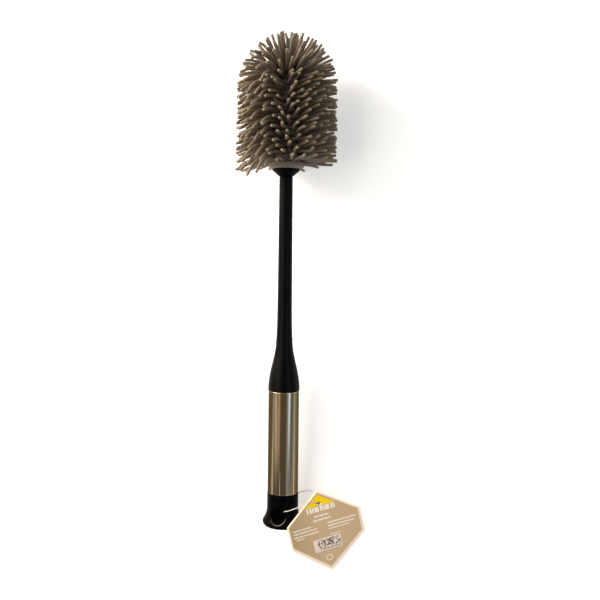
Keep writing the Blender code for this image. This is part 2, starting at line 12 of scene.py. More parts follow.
import bmesh
import bpy
import numpy as np
from mathutils import Matrix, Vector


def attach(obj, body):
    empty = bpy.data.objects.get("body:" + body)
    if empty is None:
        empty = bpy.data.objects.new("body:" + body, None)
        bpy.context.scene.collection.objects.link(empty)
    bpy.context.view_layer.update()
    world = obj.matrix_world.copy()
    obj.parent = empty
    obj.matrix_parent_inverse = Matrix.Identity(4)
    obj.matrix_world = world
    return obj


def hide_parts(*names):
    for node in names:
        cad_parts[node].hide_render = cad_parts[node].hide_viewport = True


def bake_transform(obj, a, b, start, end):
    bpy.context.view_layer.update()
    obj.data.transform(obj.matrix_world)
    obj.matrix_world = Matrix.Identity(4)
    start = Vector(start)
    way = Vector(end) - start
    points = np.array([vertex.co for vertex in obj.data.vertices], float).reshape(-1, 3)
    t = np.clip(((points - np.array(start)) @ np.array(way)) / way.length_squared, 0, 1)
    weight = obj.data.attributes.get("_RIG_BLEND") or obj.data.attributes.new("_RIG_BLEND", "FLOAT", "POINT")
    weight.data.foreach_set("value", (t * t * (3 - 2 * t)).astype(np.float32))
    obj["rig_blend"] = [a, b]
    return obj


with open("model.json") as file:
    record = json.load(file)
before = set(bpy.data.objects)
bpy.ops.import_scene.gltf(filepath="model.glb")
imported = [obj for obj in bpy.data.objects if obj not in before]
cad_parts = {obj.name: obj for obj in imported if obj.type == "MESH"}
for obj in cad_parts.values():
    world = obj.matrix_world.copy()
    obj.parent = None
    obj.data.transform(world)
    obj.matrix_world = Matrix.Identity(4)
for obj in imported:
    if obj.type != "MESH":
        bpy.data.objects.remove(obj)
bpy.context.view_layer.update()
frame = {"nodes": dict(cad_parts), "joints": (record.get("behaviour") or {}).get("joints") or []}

MM = 0.001
print("nodes:", ", ".join(frame["nodes"]))

# %% [markdown]
# ## The brush's own axes
#
# Every turned piece of the brush shares one axis, and the brush lies at a slant of a few
# degrees. It could be drawn straight onto the table with slanted formulas. It is easier to
# draw it upright, in millimetres up its axis, and to lay each finished array down with one
# product. The joint that the head turns on knows the axis, so it is read from the frame.

# %% The brush's axes
turn_joint = next(joint for joint in frame["joints"] if joint["name"] == "head_turn")
AXIS_FOOT = np.array(turn_joint["pos_m"])
AXIS_UP = np.array(turn_joint["axis"])
AXIS_RIGHT = np.array([1.0, 0.0, 0.0])
BRUSH_AXES = np.stack([AXIS_RIGHT, np.cross(AXIS_UP, AXIS_RIGHT), AXIS_UP])
LAY_TURN = np.arctan2(AXIS_UP[2], AXIS_UP[1]) - np.pi / 2  # about X, from upright to lying


def on_brush(points):
    """A point's three brush coordinates, times the three axes, from the foot of the axis."""
    return AXIS_FOOT + np.asarray(points) @ BRUSH_AXES


print("the brush's slope is", round(90 + float(np.degrees(LAY_TURN)), 3), "degrees")

# %% [markdown]
# ## The camera
#
# The picture was taken from close by, so near things look larger, and the bristles that
# point at the camera seem to lean away from the middle of the picture. A camera is a place,
# a direction and a lens. All three are written in the brush's own terms: how far round the
# axis, how far away, how high up the axis. The picture's middle isn't the lens's middle,
# which is what the small shift is for.

# %% The camera
CAMERA_ROUND = np.radians(16.5)   # round the axis, to the right
CAMERA_AWAY = 0.6
CAMERA_LEVEL = 0.2112             # up the brush's axis
CAMERA_ROLL = np.radians(0.625)
CAMERA_LENS = 44.7                # on a sensor 36 mm wide
CAMERA_SHIFT = (0.0246, -0.0633)

toward = np.array([-np.sin(CAMERA_ROUND), np.cos(CAMERA_ROUND), 0.0])
level = np.array([np.cos(CAMERA_ROUND), np.sin(CAMERA_ROUND), 0.0])
upright = np.array([0.0, 0.0, 1.0])
camera_right = level * np.cos(CAMERA_ROLL) + upright * np.sin(CAMERA_ROLL)
camera_up = upright * np.cos(CAMERA_ROLL) - level * np.sin(CAMERA_ROLL)
camera_turn = BRUSH_AXES.T @ np.stack([camera_right, camera_up, -toward], axis=1)
camera_place = on_brush(upright * CAMERA_LEVEL - toward * CAMERA_AWAY)

camera_data = bpy.data.cameras.new("camera")
camera_data.lens = CAMERA_LENS
camera_data.shift_x, camera_data.shift_y = CAMERA_SHIFT
camera = bpy.data.objects.new("camera", camera_data)
bpy.context.scene.collection.objects.link(camera)
camera.matrix_world = Matrix.Translation(camera_place) @ Matrix(camera_turn.tolist()).to_4x4()
bpy.context.scene.camera = camera
print("the camera stands at", np.round(camera_place, 3))

# %% [markdown]
# ## From a grid of points to a piece
#
# Nearly every surface here is a grid: one number runs along it and another runs across it.
# Numpy works out all its points at once, and Blender takes the whole array in one call. Each
# grid gets its faces from one rule. Where a row shrinks to a single point, as at a pole, its
# points are welded, so that the surface is closed.

# %% Faces and meshes
WELD = 0.0005 * MM


def grid_faces(rows, columns, ring=True, loop=False):
    """Quads between each row and the next. A ring joins the last column to the first, and a
    loop the last row to the first. A face is seen from outside where the rows run upwards
    and the columns run anticlockwise."""
    down = np.arange(rows if loop else rows - 1)[:, None]
    across = np.arange(columns if ring else columns - 1)[None, :]
    here = down * columns
    above = (down + 1) % rows * columns
    beside = (across + 1) % columns
    corners = [here + across, here + beside, above + beside, above + across]
    return np.stack(corners, axis=-1).reshape(-1, 4)


def make_piece(name, points, faces, marks=None):
    """A mesh object at the origin, with its doubles welded and each mark as an attribute."""
    points = np.asarray(points, float).reshape(-1, 3)
    mesh = bpy.data.meshes.new(name)
    mesh.from_pydata(points.tolist(), [], faces.tolist())
    for mark, values in (marks or {}).items():
        vector = np.ndim(values) > 1
        layer = mesh.attributes.new(mark, "FLOAT_VECTOR" if vector else "FLOAT", "POINT")
        layer.data.foreach_set("vector" if vector else "value", np.ravel(values).astype(np.float32))
    bm = bmesh.new()
    bm.from_mesh(mesh)
    bmesh.ops.remove_doubles(bm, verts=bm.verts, dist=WELD)
    bm.to_mesh(mesh)
    bm.free()
    mesh.shade_smooth()
    piece = bpy.data.objects.new(name, mesh)
    bpy.context.scene.collection.objects.link(piece)
    print(name, "has", len(mesh.vertices), "points and", len(mesh.polygons), "faces")
    return piece


def settle(piece, body, slot, finish, *nodes):
    """The piece moves with a body, takes a finish and stands for the CAD nodes named."""
    piece.data.materials.append(finish)
    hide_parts(*nodes)
    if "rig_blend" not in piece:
        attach(piece, body)
    return piece


# %% [markdown]
# ## Finishes
#
# A finish is a network of shader nodes. Wiring them one by one hides the idea, so a small
# class wraps a socket, and Python's own signs add the Math nodes: `1 - mask` is a node, and
# so is `noise * 0.3`. The other nodes come from one method. It sets a node's settings first,
# since they can change which sockets it has, and then fills the sockets. A number that is the
# same all over a piece goes straight onto the shader.

# %% A value
class Value:
    """An output socket that Python's arithmetic works on."""

    def __init__(self, finish, socket):
        self.finish = finish
        self.socket = socket

    def __add__(self, other):
        return self.finish.math("ADD", self, other)

    def __sub__(self, other):
        return self.finish.math("SUBTRACT", self, other)

    def __mul__(self, other):
        return self.finish.math("MULTIPLY", self, other)

    def __truediv__(self, other):
        return self.finish.math("DIVIDE", self, other)

    def __rsub__(self, other):
        return self.finish.math("SUBTRACT", other, self)

    def __abs__(self):
        return self.finish.math("ABSOLUTE", self)

    def __gt__(self, other):
        return self.finish.math("GREATER_THAN", self, other)

    def __lt__(self, other):
        return self.finish.math("LESS_THAN", self, other)

    __radd__ = __add__
    __rmul__ = __mul__


# %% A finish
class Finish:
    """A material with one Principled shader, whose constants are set on its own sockets."""

    def __init__(self, name, **constants):
        self.material = bpy.data.materials.new(name)
        self.material.use_nodes = True
        self.tree = self.material.node_tree
        self.shader = self.tree.nodes["Principled BSDF"]
        self.paint(**constants)

    def fill(self, socket, value):
        """Links a value to a socket, or sets the socket to a number, vector or colour."""
        if isinstance(value, Value):
            self.tree.links.new(value.socket, socket)
        else:
            socket.default_value = value

    def paint(self, **sockets):
        """Fills the shader's sockets: base_color stands for Base Color."""
        for name, value in sockets.items():
            title = name.replace("_", " ").title().replace("Ior", "IOR")
            self.fill(self.shader.inputs[title], value)

    def node(self, kind, settings=None, sockets=None, output=0):
        """A node of any kind: its settings first, then its sockets, and one output of it."""
        made = self.tree.nodes.new(kind)
        for name, value in (settings or {}).items():
            if name == "stops":
                self.set_stops(made.color_ramp, value)
            else:
                setattr(made, name, value)
        for name, value in (sockets or {}).items():
            self.fill(made.inputs[name], value)
        return Value(self, made.outputs[output])

    @staticmethod
    def set_stops(ramp, stops):
        """Gives a ramp its places and colours."""
        while len(ramp.elements) < len(stops):
            ramp.elements.new(0.5)
        for element, (place, colour) in zip(ramp.elements, stops):
            element.position = place
            element.color = (*colour, 1.0)

    def math(self, operation, *values):
        """A Math node on one value or two."""
        return self.node("ShaderNodeMath", {"operation": operation}, dict(enumerate(values)))

    def clamp(self, value):
        """Not below 0 and not above 1."""
        return self.math("MINIMUM", self.math("MAXIMUM", value, 0.0), 1.0)

    def mix(self, share, first, second):
        """A colour between two, by share."""
        colours = [c if isinstance(c, Value) else (*c, 1.0) for c in (first, second)]
        sockets = {0: share, 6: colours[0], 7: colours[1]}
        return self.node("ShaderNodeMix", {"data_type": "RGBA"}, sockets, 2)

    def noise(self, place, scale, detail=3.0):
        """Soft noise from 0 to 1, whose waves are about one over scale long."""
        sockets = {"Vector": place, "Scale": scale, "Detail": detail}
        return self.node("ShaderNodeTexNoise", None, sockets)

    def bump(self, height, distance):
        """A normal for a relief as deep as distance where height goes from 0 to 1."""
        sockets = {"Height": height, "Distance": distance}
        return self.node("ShaderNodeBump", None, sockets, "Normal")

    def parts(self, vector):
        """A vector's three numbers."""
        split = self.node("ShaderNodeSeparateXYZ", None, {0: vector}, "X")
        outputs = split.socket.node.outputs
        return [Value(self, outputs[name]) for name in "XYZ"]

    def mark(self, name, output="Fac"):
        """The piece's own attribute."""
        return self.node("ShaderNodeAttribute", {"attribute_name": name}, None, output)

    def lying_place(self, scale=(1.0, 1.0, 1.0)):
        """Object coordinates turned upright: a Texture mapping undoes the brush's place and
        turn, and divides by scale, so that a pattern can be stretched along the axis."""
        place = self.node("ShaderNodeTexCoord", None, None, "Object")
        sockets = {"Vector": place, "Location": AXIS_FOOT, "Rotation": (LAY_TURN, 0.0, 0.0)}
        return self.node(
            "ShaderNodeMapping", {"vector_type": "TEXTURE"}, {**sockets, "Scale": scale}
        )


# %% [markdown]
# ## The thread, the one cord on the brush
#
# A white thread runs from a knot behind the tag, through the tag's hole, across to the hanging hole in the
# end cap, down through it and back up to the knot. The tag's card hides the last stretch. It is limp: it
# lies on what it passes and hangs a little where nothing carries it. The route is a given list of points,
# the same as in the solid model. A Catmull-Rom curve passes through all of them with no corners.

# %% The thread's route
TABLE_FOOT = np.array([0.0, AXIS_FOOT[1], 0.0])
THREAD_ROUTE = TABLE_FOOT + MM * np.array([
    (31.1, 22.0, 23.3),
    (31.8, 21.6, 24.8),
    (32.1, 21.3, 26.1),
    (30.7, 22.0, 27.1),
    (28.5, 22.5, 28.4),
    (26.9, 22.7, 29.5),
    (23.8, 22.4, 31.0),
    (20.1, 20.3, 31.2),
    (16.1, 18.0, 30.3),
    (9.9, 14.9, 29.5),
    (6.9, 13.9, 29.3),
    (5.2, 13.5, 29.1),
    (4.35, 12.85, 28.9),
    (3.95, 12.5, 27.6),
    (3.7, 11.9, 24.0),
    (3.9, 11.0, 16.8),
    (4.1, 10.6, 9.8),
    (4.5, 11.3, 6.0),
    (5.4, 13.7, 3.6),
    (6.4, 17.7, 2.9),
    (7.9, 21.6, 3.7),
    (10.2, 23.9, 4.9),
    (13.6, 25.4, 6.9),
    (18.4, 27.1, 9.8),
    (22.4, 27.6, 12.9),
    (26.6, 27.2, 16.1),
    (29.2, 25.0, 18.7),
    (29.9, 23.0, 20.8),
])
THREAD_RADIUS = 0.35 * MM
THREAD_STEP = 0.35 * MM
CURVE_SAMPLES = 40


def smooth_route(route, step):
    """Between two points the curve is a cubic, whose slope at each is half the way from the
    point before to the point after. It is read again at equal steps of its length."""
    ends = np.vstack([2 * route[0] - route[1], route, 2 * route[-1] - route[-2]])
    before, here, after, beyond = ends[:-3], ends[1:-2], ends[2:-1], ends[3:]
    t = np.linspace(0, 1, CURVE_SAMPLES, endpoint=False)[:, None, None]
    square = 2 * before - 5 * here + 4 * after - beyond
    cube = 3 * here - before - 3 * after + beyond
    curve = (2 * here + (after - before) * t + square * t**2 + cube * t**3) / 2
    curve = np.vstack([curve.transpose(1, 0, 2).reshape(-1, 3), route[-1]])
    away = np.insert(np.cumsum(np.linalg.norm(np.diff(curve, axis=0), axis=1)), 0, 0.0)
    wanted = np.linspace(0, away[-1], round(away[-1] / step) + 1)
    return np.stack([np.interp(wanted, away, curve[:, k]) for k in range(3)], axis=1), away[-1]


thread_path, thread_length = smooth_route(THREAD_ROUTE, THREAD_STEP)
print("the thread is", round(thread_length / MM, 1), "mm long, in", len(thread_path), "points")

# %% [markdown]
# ## Twisted thread
#
# Seen close, a thread is three plies twisted together. A plain tube with a bump would do
# from afar. Here the tube's section has three lobes, and the lobes turn as they go along, so
# the twist is in the mesh. The section needs two directions square to the path at each
# point. The thread's loop lies nearly in one plane, so that plane's normal gives them
# without any twist building up.

# %% The thread's tube
PLY_TURN = 2 * np.pi / (2.6 * MM)   # one turn of the plies in 2.6 mm
PLY_GROOVE = 0.22                   # as a share of the radius
THREAD_SIDES = 12


def unit(vectors):
    """Each vector over its own length."""
    return vectors / np.linalg.norm(vectors, axis=-1, keepdims=True)


def full_turn(count):
    """Equal steps round a circle, without the first again at the end."""
    return np.linspace(0, 2 * np.pi, count, endpoint=False)


def ply_tube(path, radius, step):
    """Ring i round the path's point i, with radius (1 - groove (1 - |cos 1.5 (a - twist)|)),
    whose last and first rings shrink to points."""
    along = unit(np.gradient(path, axis=0))
    flat = np.linalg.svd(path - path.mean(axis=0))[2][2]
    side = unit(np.cross(along, flat))
    other = np.cross(along, side)
    turn = full_turn(THREAD_SIDES)[None, :]
    twist = PLY_TURN * step * np.arange(len(path))[:, None]
    lobe = 1 - PLY_GROOVE * (1 - np.abs(np.cos(1.5 * (turn - twist))))
    size = radius * lobe[..., None]
    round_it = np.cos(turn)[..., None] * side[:, None] + np.sin(turn)[..., None] * other[:, None]
    rings = path[:, None] + size * round_it
    ends = [np.repeat(path[k][None, None], THREAD_SIDES, axis=1) for k in (0, -1)]
    return np.concatenate([ends[0], rings, ends[1]])


def tube_faces(rings):
    """The faces of a tube, given as an array of rings."""
    return grid_faces(rings.shape[0], rings.shape[1])


thread_rings = ply_tube(thread_path, THREAD_RADIUS, THREAD_STEP)

# %% [markdown]
# ## The thread's finish
#
# Cotton is matt and white, and fine noise roughens it, so that it doesn't shine like a wire.
# Handling has turned it grey. Over the card and in the two holes it is painted darker, as painted shade, and
# in the holes nearly black. A finish doesn't know how far along the thread a point is. So the mesh carries a
# mark for the grey and the painted shade, which is 0 on clean cotton and 1 on black, and the finish mixes
# its two colours by that.

# %% White cotton
COTTON_SHADED, COTTON_LIT, GRIME_AND_SHADE = (0.82, 0.77, 0.67), (0.98, 0.94, 0.86), (0.012, 0.011, 0.009)

cotton = Finish("white_cotton", roughness=0.85, sheen_weight=0.2)
fibre = cotton.noise(cotton.lying_place(), 5200.0)
cotton_clean = cotton.mix(fibre, COTTON_SHADED, COTTON_LIT)
# The mark mixes in the dark colour: grey from handling, and painted shade over the card and in the holes.
cotton.paint(
    base_color=cotton.mix(cotton.mark("soiled"), cotton_clean, GRIME_AND_SHADE),
    normal=cotton.bump(fibre, 0.06 * MM),
)

# %% Where the thread is grey, and where shade is painted on it
# How dark: grey from handling, and painted shade over the card, at the tag's hole and in the cap's hole.
HANDLED, OVER_CARD, AT_TAG_HOLE, IN_CAP_HOLE = 0.34, 0.44, 0.86, 0.97
CAP_HOLE_RIGHT, CAP_HOLE_LOW = 5.2 * MM, 2.0 * MM  # in the cap to the left of it, and above it
CARD_LEFT, CARD_LOW = 17 * MM, 22 * MM             # over the card to the right of it, and above it
TAG_HOLE_REACH = 4.6 * MM

ring_middle = thread_rings.mean(axis=1)
in_cap_hole = (ring_middle[:, 0] < CAP_HOLE_RIGHT) & (ring_middle[:, 2] > CAP_HOLE_LOW)
over_card = (ring_middle[:, 0] > CARD_LEFT) & (ring_middle[:, 2] > CARD_LOW)
at_tag_hole = np.linalg.norm(ring_middle - THREAD_ROUTE[0], axis=1) < TAG_HOLE_REACH
grime_and_shade_places = [in_cap_hole, at_tag_hole, over_card]
soiled = np.select(grime_and_shade_places, [IN_CAP_HOLE, AT_TAG_HOLE, OVER_CARD], HANDLED)
thread_marks = {"soiled": np.repeat(soiled, THREAD_SIDES)}
tag_thread = make_piece("cotton_thread", thread_rings, tube_faces(thread_rings), thread_marks)

# %% What the thread moves with
THREAD_HELD_TO = 9.5 * MM     # to the right of the axis, as far as here it stays with the cap
THREAD_FREE_FROM = 31.5 * MM  # and from here on it goes with the tag
blend_from = (THREAD_HELD_TO, float(AXIS_FOOT[1]), 0.0)
blend_to = (THREAD_FREE_FROM, float(AXIS_FOOT[1]), 0.0)
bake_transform(tag_thread, "handle", "tag", start=blend_from, end=blend_to)
settle(tag_thread, "handle", "white_thread", cotton.material, "tag_thread")

# %% [markdown]
# ## The knot
#
# The two ends meet in a small knot behind the tag. It is pulled up into the tag's hole and is painted as
# dark as the thread there, as painted shade, so that from the front it fills the hole with shade. A ball
# would stand for it, but a real knot is the same thread wound through itself. A trefoil is the simplest knot
# there is, and it has a formula: it goes round twice while it rises and falls three times.

# %% The knot
KNOT_SIZE = 0.462 * MM
KNOT_STEPS = 72
KNOT_SHIFT = MM * np.array([0.5, -1.1, 0.12])  # from midway between the ends, into the hole
# The knot is painted dark, as painted shade in the tag's hole.
KNOT_SHADE, KNOT_UNEVEN = 0.90, 0.07
knot_turn = full_turn(KNOT_STEPS)
knot_centre = (THREAD_ROUTE[0] + THREAD_ROUTE[-1]) / 2 + KNOT_SHIFT


def trefoil(turn):
    """(sin t + 2 sin 2t, cos t - 2 cos 2t, -sin 3t), which closes on itself."""
    across = np.sin(turn) + 2 * np.sin(2 * turn)
    forward = np.cos(turn) - 2 * np.cos(2 * turn)
    return np.stack([across, forward, -np.sin(3 * turn)], axis=1)


knot_path = knot_centre + KNOT_SIZE * trefoil(knot_turn)
knot_along = unit(np.roll(knot_path, -1, axis=0) - np.roll(knot_path, 1, axis=0))
knot_side = unit(np.cross(knot_along, AXIS_UP))
knot_other = np.cross(knot_along, knot_side)
around = full_turn(THREAD_SIDES)[None, :, None]
knot_rings = knot_path[:, None] + THREAD_RADIUS * (
    np.cos(around) * knot_side[:, None] + np.sin(around) * knot_other[:, None]
)
knot_shade = KNOT_SHADE + KNOT_UNEVEN * np.cos(2 * knot_turn)
knot_marks = {"soiled": np.repeat(knot_shade, THREAD_SIDES)}
knot_faces = grid_faces(KNOT_STEPS, THREAD_SIDES, loop=True)
knot = make_piece("thread_knot_tied", knot_rings, knot_faces, knot_marks)
settle(knot, "tag", "white_thread", cotton.material, "thread_knot")

# %% [markdown]
# ## Sizes up the brush
#
# The pieces stack up the axis with small clearances, so one list of lengths gives every
# height. They are the same lengths that the solids were built from.

# %% Heights and radii
GAP = 0.3 * MM
SLEEVE_RADIUS, SLEEVE_WALL, SLEEVE_LENGTH = 12.25 * MM, 0.5 * MM, 81.3 * MM
BODY_RADIUS = SLEEVE_RADIUS + 0.25 * MM
CAP_HEIGHT, LIP_RADIUS, LIP_ROUND, WAIST_HEIGHT = 26.2 * MM, 16.0 * MM, 3.3 * MM, 14.5 * MM
HOLE_RADIUS, HOLE_HEIGHT = 5.8 * MM, 10.5 * MM
CAP_SPIGOT_RADIUS, CAP_SPIGOT_LENGTH = 7.7 * MM, 24.0 * MM
STEM_LENGTH, STEM_TIP_RADIUS, STEM_TAPER = 170.6 * MM, 5.4 * MM, 0.5 * MM
SWELL, SWELL_FADE = 0.7 * MM, 10.0 * MM
FLARE_START, FLARE_LENGTH, FLARE_RADIUS = 1.2 * MM, 40.0 * MM, BODY_RADIUS + 0.1 * MM
CORE_RADIUS = SLEEVE_RADIUS - SLEEVE_WALL - GAP
HOLLOW_RADIUS = CAP_SPIGOT_RADIUS + GAP
ROD_BORE = 2.0 * MM + GAP
SPIGOT_RADIUS, SPIGOT_LENGTH = 3.2 * MM, 10.0 * MM
SEAL_THICKNESS, SEAL_RADIUS = 0.8 * MM, 5.3 * MM
COLLAR_NECK_RADIUS, COLLAR_RADIUS, COLLAR_HEIGHT = 5.5 * MM, 11.3 * MM, 5.4 * MM
SOCKET_DEPTH = 58.0 * MM
RIM_RADIUS, RIM_HEIGHT, RIM_CHAMFER = 14.6 * MM, 5.3 * MM, 2.0 * MM
SHELL_RADIUS, SHELL_WALL, DOME_CENTRE = 13.0 * MM, 2.5 * MM, 70.6 * MM

SLEEVE_BOTTOM = CAP_HEIGHT + GAP
SLEEVE_TOP = SLEEVE_BOTTOM + SLEEVE_LENGTH
SHOULDER = SLEEVE_TOP + GAP
FLARE_TOP = SHOULDER + FLARE_START + FLARE_LENGTH
NECK = SHOULDER + STEM_LENGTH
SEAL_BOTTOM = NECK + GAP
COLLAR_BOTTOM = SEAL_BOTTOM + SEAL_THICKNESS + GAP
COLLAR_TOP = COLLAR_BOTTOM + COLLAR_HEIGHT
RIM_BOTTOM = COLLAR_TOP + GAP
DOME_Z = RIM_BOTTOM + DOME_CENTRE
HOLLOW_TOP = SLEEVE_BOTTOM + 76.0 * MM
ROD_TOP = NECK - 0.5 * MM
print("the neck is", round(NECK / MM, 1), "mm and the dome", round(DOME_Z / MM, 1), "mm up")

# %% [markdown]
# ## Turned pieces
#
# A lathe makes a piece from the outline of one side. So does this function: it takes the
# outline as points of radius and height, and turns each one round the axis. The outline
# starts inside, runs outwards along the bottom, up the outer side and back to the axis.
# Moulded edges are never sharp, so each corner is given with the size of its rounding.

# %% Turning a profile
TURN_STEPS = 96


def rounded(corners, steps=5):
    """Each corner (radius, height, size) becomes a short parabola, which leaves one side and
    joins the other at that size from the corner."""
    place = np.array([corner[:2] for corner in corners])
    size = np.array([corner[2] for corner in corners])[:, None, None]
    before = place - np.roll(place, 1, axis=0)
    after = np.roll(place, -1, axis=0) - place
    start = place[:, None] - size * unit(before)[:, None]
    end = place[:, None] + size * unit(after)[:, None]
    t = np.linspace(0, 1, steps)[None, :, None]
    curve = (1 - t) ** 2 * start + 2 * t * (1 - t) * place[:, None] + t**2 * end
    keep = [c if s > 0 else c[:1] for c, s in zip(curve, size.ravel())]
    return np.concatenate(keep)


def turned(profile, steps=TURN_STEPS, ripple=None):
    """A point (radius, height) of the profile at turn a stands at (radius cos a, radius sin a,
    height). A ripple gives the radius another value at each turn and height."""
    turn = full_turn(steps)[None, :]
    radius, height = (np.repeat(column[:, None], steps, axis=1) for column in profile.T)
    if ripple:
        radius = ripple(radius, turn, height)
    return np.stack([radius * np.cos(turn), radius * np.sin(turn), height], axis=-1)


def arc(centre, radius, start, end, count):
    """Points (radius, height) on a circle between two angles in degrees."""
    angle = np.radians(np.linspace(start, end, count))
    return np.stack([centre[0] + radius * np.cos(angle), centre[1] + radius * np.sin(angle)], 1)


# %% [markdown]
# ## Black plastic
#
# The cap, the stem and the collar are moulded in one black plastic, and differ in how coarse
# their grain is and how much they shine. New plastic has a faint grain from the mould's
# spark-eroded surface, which breaks up its highlights, and handling makes some places
# smoother than others. So the grain is a bump and the handling is a slow change in roughness.
# A trace of dust lifts the black here and there. The lower edge of the cap's hole has a painted highlight at
# its mouth, and the inside of the hole is duller and painted darker, as painted shade. Two marks on the
# cap's mesh say where.

# %% Black plastic
BLACK, DUSTED = (0.0009, 0.0009, 0.0009), (0.0022, 0.0020, 0.0019)
DUST_FROM, DUST_SHARE, HANDLED_SHARE = 0.66, 0.35, 0.5
SMOOTHEST, ROUGHER, DULLER_WITHIN = 0.27, 0.22, 0.5  # roughness, and what is added to it
MOUTH_HIGHLIGHT = (0.17, 0.155, 0.125)
# The inside of the hole is painted near black, as painted shade.
HOLE_SHADE = (0.0003, 0.0003, 0.0003)


def black_plastic(name, grain, shine, holed=False):
    """The grain is the bump's height. A holed piece has two marks: a painted highlight along the lower edge
    of the hole's mouth, and the inside of the hole, which is rougher and painted dark as shade.
    """
    finish = Finish(name, specular_ior_level=shine)
    place = finish.lying_place()
    handled = finish.noise(place, 60.0)
    dust = finish.noise(place, 900.0, 5.0)
    specks = (dust > DUST_FROM) * DUST_SHARE + handled * HANDLED_SHARE
    colour = finish.mix(specks, BLACK, DUSTED)
    roughness = handled * ROUGHER + SMOOTHEST
    if holed:
        within = finish.mark("within")
        # The mouth's lower edge gets a painted highlight, and the inside of the hole gets painted shade.
        colour = finish.mix(within, finish.mix(finish.mark("worn"), colour, MOUTH_HIGHLIGHT), HOLE_SHADE)
        roughness = roughness + within * DULLER_WITHIN
    finish.paint(
        base_color=colour,
        roughness=roughness,
        normal=finish.bump(finish.noise(place, 2600.0, 2.0), grain),
    )
    return finish.material


stem_black = black_plastic("stem_black_plastic", 0.012 * MM, 0.045)
cap_black = black_plastic("cap_black_plastic", 0.012 * MM, 0.015, holed=True)
grained_black = black_plastic("grained_black_plastic", 0.03 * MM, 0.014)

# %% [markdown]
# ## The stem and its screw
#
# The stem tapers to the neck, swells softly and flares to the width of the sleeve. A half
# cosine wave joins the two widths with no edge at either end. Above the neck stands the
# screw that holds the head. It could be modelled as rings, but then it wouldn't be a screw:
# here the radius depends on the turn and the height together, which is what a helix is.

# %% The stem's outline
FLARE_RISE = FLARE_RADIUS - STEM_TIP_RADIUS - STEM_TAPER - SWELL


def stem_radius(height):
    """A tapering tube, plus a swelling that fades upwards, plus the flare's half wave."""
    fade = SWELL * np.exp(-np.maximum(height - FLARE_TOP, 0) / SWELL_FADE)
    taper = STEM_TAPER * np.minimum((NECK - height) / (NECK - FLARE_TOP), 1)
    share = np.clip((height - SHOULDER - FLARE_START) / FLARE_LENGTH, 0, 1)
    wave = FLARE_RISE * (0.5 + 0.5 * np.cos(np.pi * share))
    return STEM_TIP_RADIUS + taper + fade + wave


# %% The screw
SCREW_PITCH = 2.5 * MM
SCREW_DEPTH = 0.45 * MM
SCREW_STEPS = 72
SCREW_START = NECK + 1.2 * MM
RIDGE_SWING = 0.85        # more than a half, so the wave's top and bottom are cut flat
ON_THE_WALL = 0.01 * MM   # a point this near to a wall's radius is on that wall


def screw_ridge(turn, height):
    """1 on the ridge and 0 in the groove: a flattened cosine of the height, in pitches, less
    the turn, in turns, which climbs as a right-handed screw does."""
    phase = height / SCREW_PITCH - turn / (2 * np.pi)
    return np.clip(0.5 + RIDGE_SWING * np.cos(2 * np.pi * phase), 0, 1)


def stem_ripple(radius, turn, height):
    """Takes the screw's grooves out of the spigot."""
    on_the_screw = (np.abs(radius - SPIGOT_RADIUS) < ON_THE_WALL) & (height > SCREW_START)
    groove = SCREW_DEPTH * (1 - screw_ridge(turn, height))
    return np.where(on_the_screw, radius - groove, radius)


# %% The stem
spigot_top = NECK + SPIGOT_LENGTH
inside = rounded([
    (0.0, ROD_TOP + GAP, 0.0),
    (ROD_BORE, ROD_TOP + GAP, 0.2 * MM),
    (ROD_BORE, HOLLOW_TOP, 0.2 * MM),
    (HOLLOW_RADIUS, HOLLOW_TOP, 0.4 * MM),
    (HOLLOW_RADIUS, SLEEVE_BOTTOM, 0.4 * MM),
    (CORE_RADIUS, SLEEVE_BOTTOM, 0.4 * MM),
    (CORE_RADIUS, SHOULDER, 0.1 * MM),
    (FLARE_RADIUS, SHOULDER, 0.35 * MM),
    (FLARE_RADIUS, SHOULDER + FLARE_START, 0.0),
])
flare_heights = np.linspace(SHOULDER + FLARE_START, FLARE_TOP, 42)
tube_heights = np.linspace(FLARE_TOP, NECK - 0.5 * MM, 60)[1:]
side_heights = np.concatenate([flare_heights[1:], tube_heights])
outside = np.stack([stem_radius(side_heights), side_heights], axis=1)
neck = rounded([
    (STEM_TIP_RADIUS, NECK - 0.4 * MM, 0.0),
    (STEM_TIP_RADIUS, NECK, 0.3 * MM),
    (SPIGOT_RADIUS, NECK, 0.1 * MM),
    (SPIGOT_RADIUS, NECK + 1.0 * MM, 0.0),
])
screw_heights = np.linspace(SCREW_START, spigot_top - 0.6 * MM, SCREW_STEPS)
screw = np.stack([np.full(SCREW_STEPS, SPIGOT_RADIUS), screw_heights], axis=1)
nose = np.array([(SPIGOT_RADIUS - SCREW_DEPTH, spigot_top), (0.0, spigot_top)])
stem_profile = np.concatenate([inside, outside, neck, screw, nose])

stem_grid = turned(stem_profile, ripple=stem_ripple)
stem = make_piece("moulded_stem", on_brush(stem_grid), tube_faces(stem_grid))
settle(stem, "handle", "black_plastic", stem_black, "stem")

# %% [markdown]
# ## The seal washer
#
# A thin rubber washer sits between the neck and the collar and keeps water out of the screw.
# It is a ring, so its outline closes on itself and the grid is joined both ways.

# %% The seal
RUBBER_DARK, RUBBER_PALE = (0.001, 0.001, 0.001), (0.003, 0.003, 0.003)

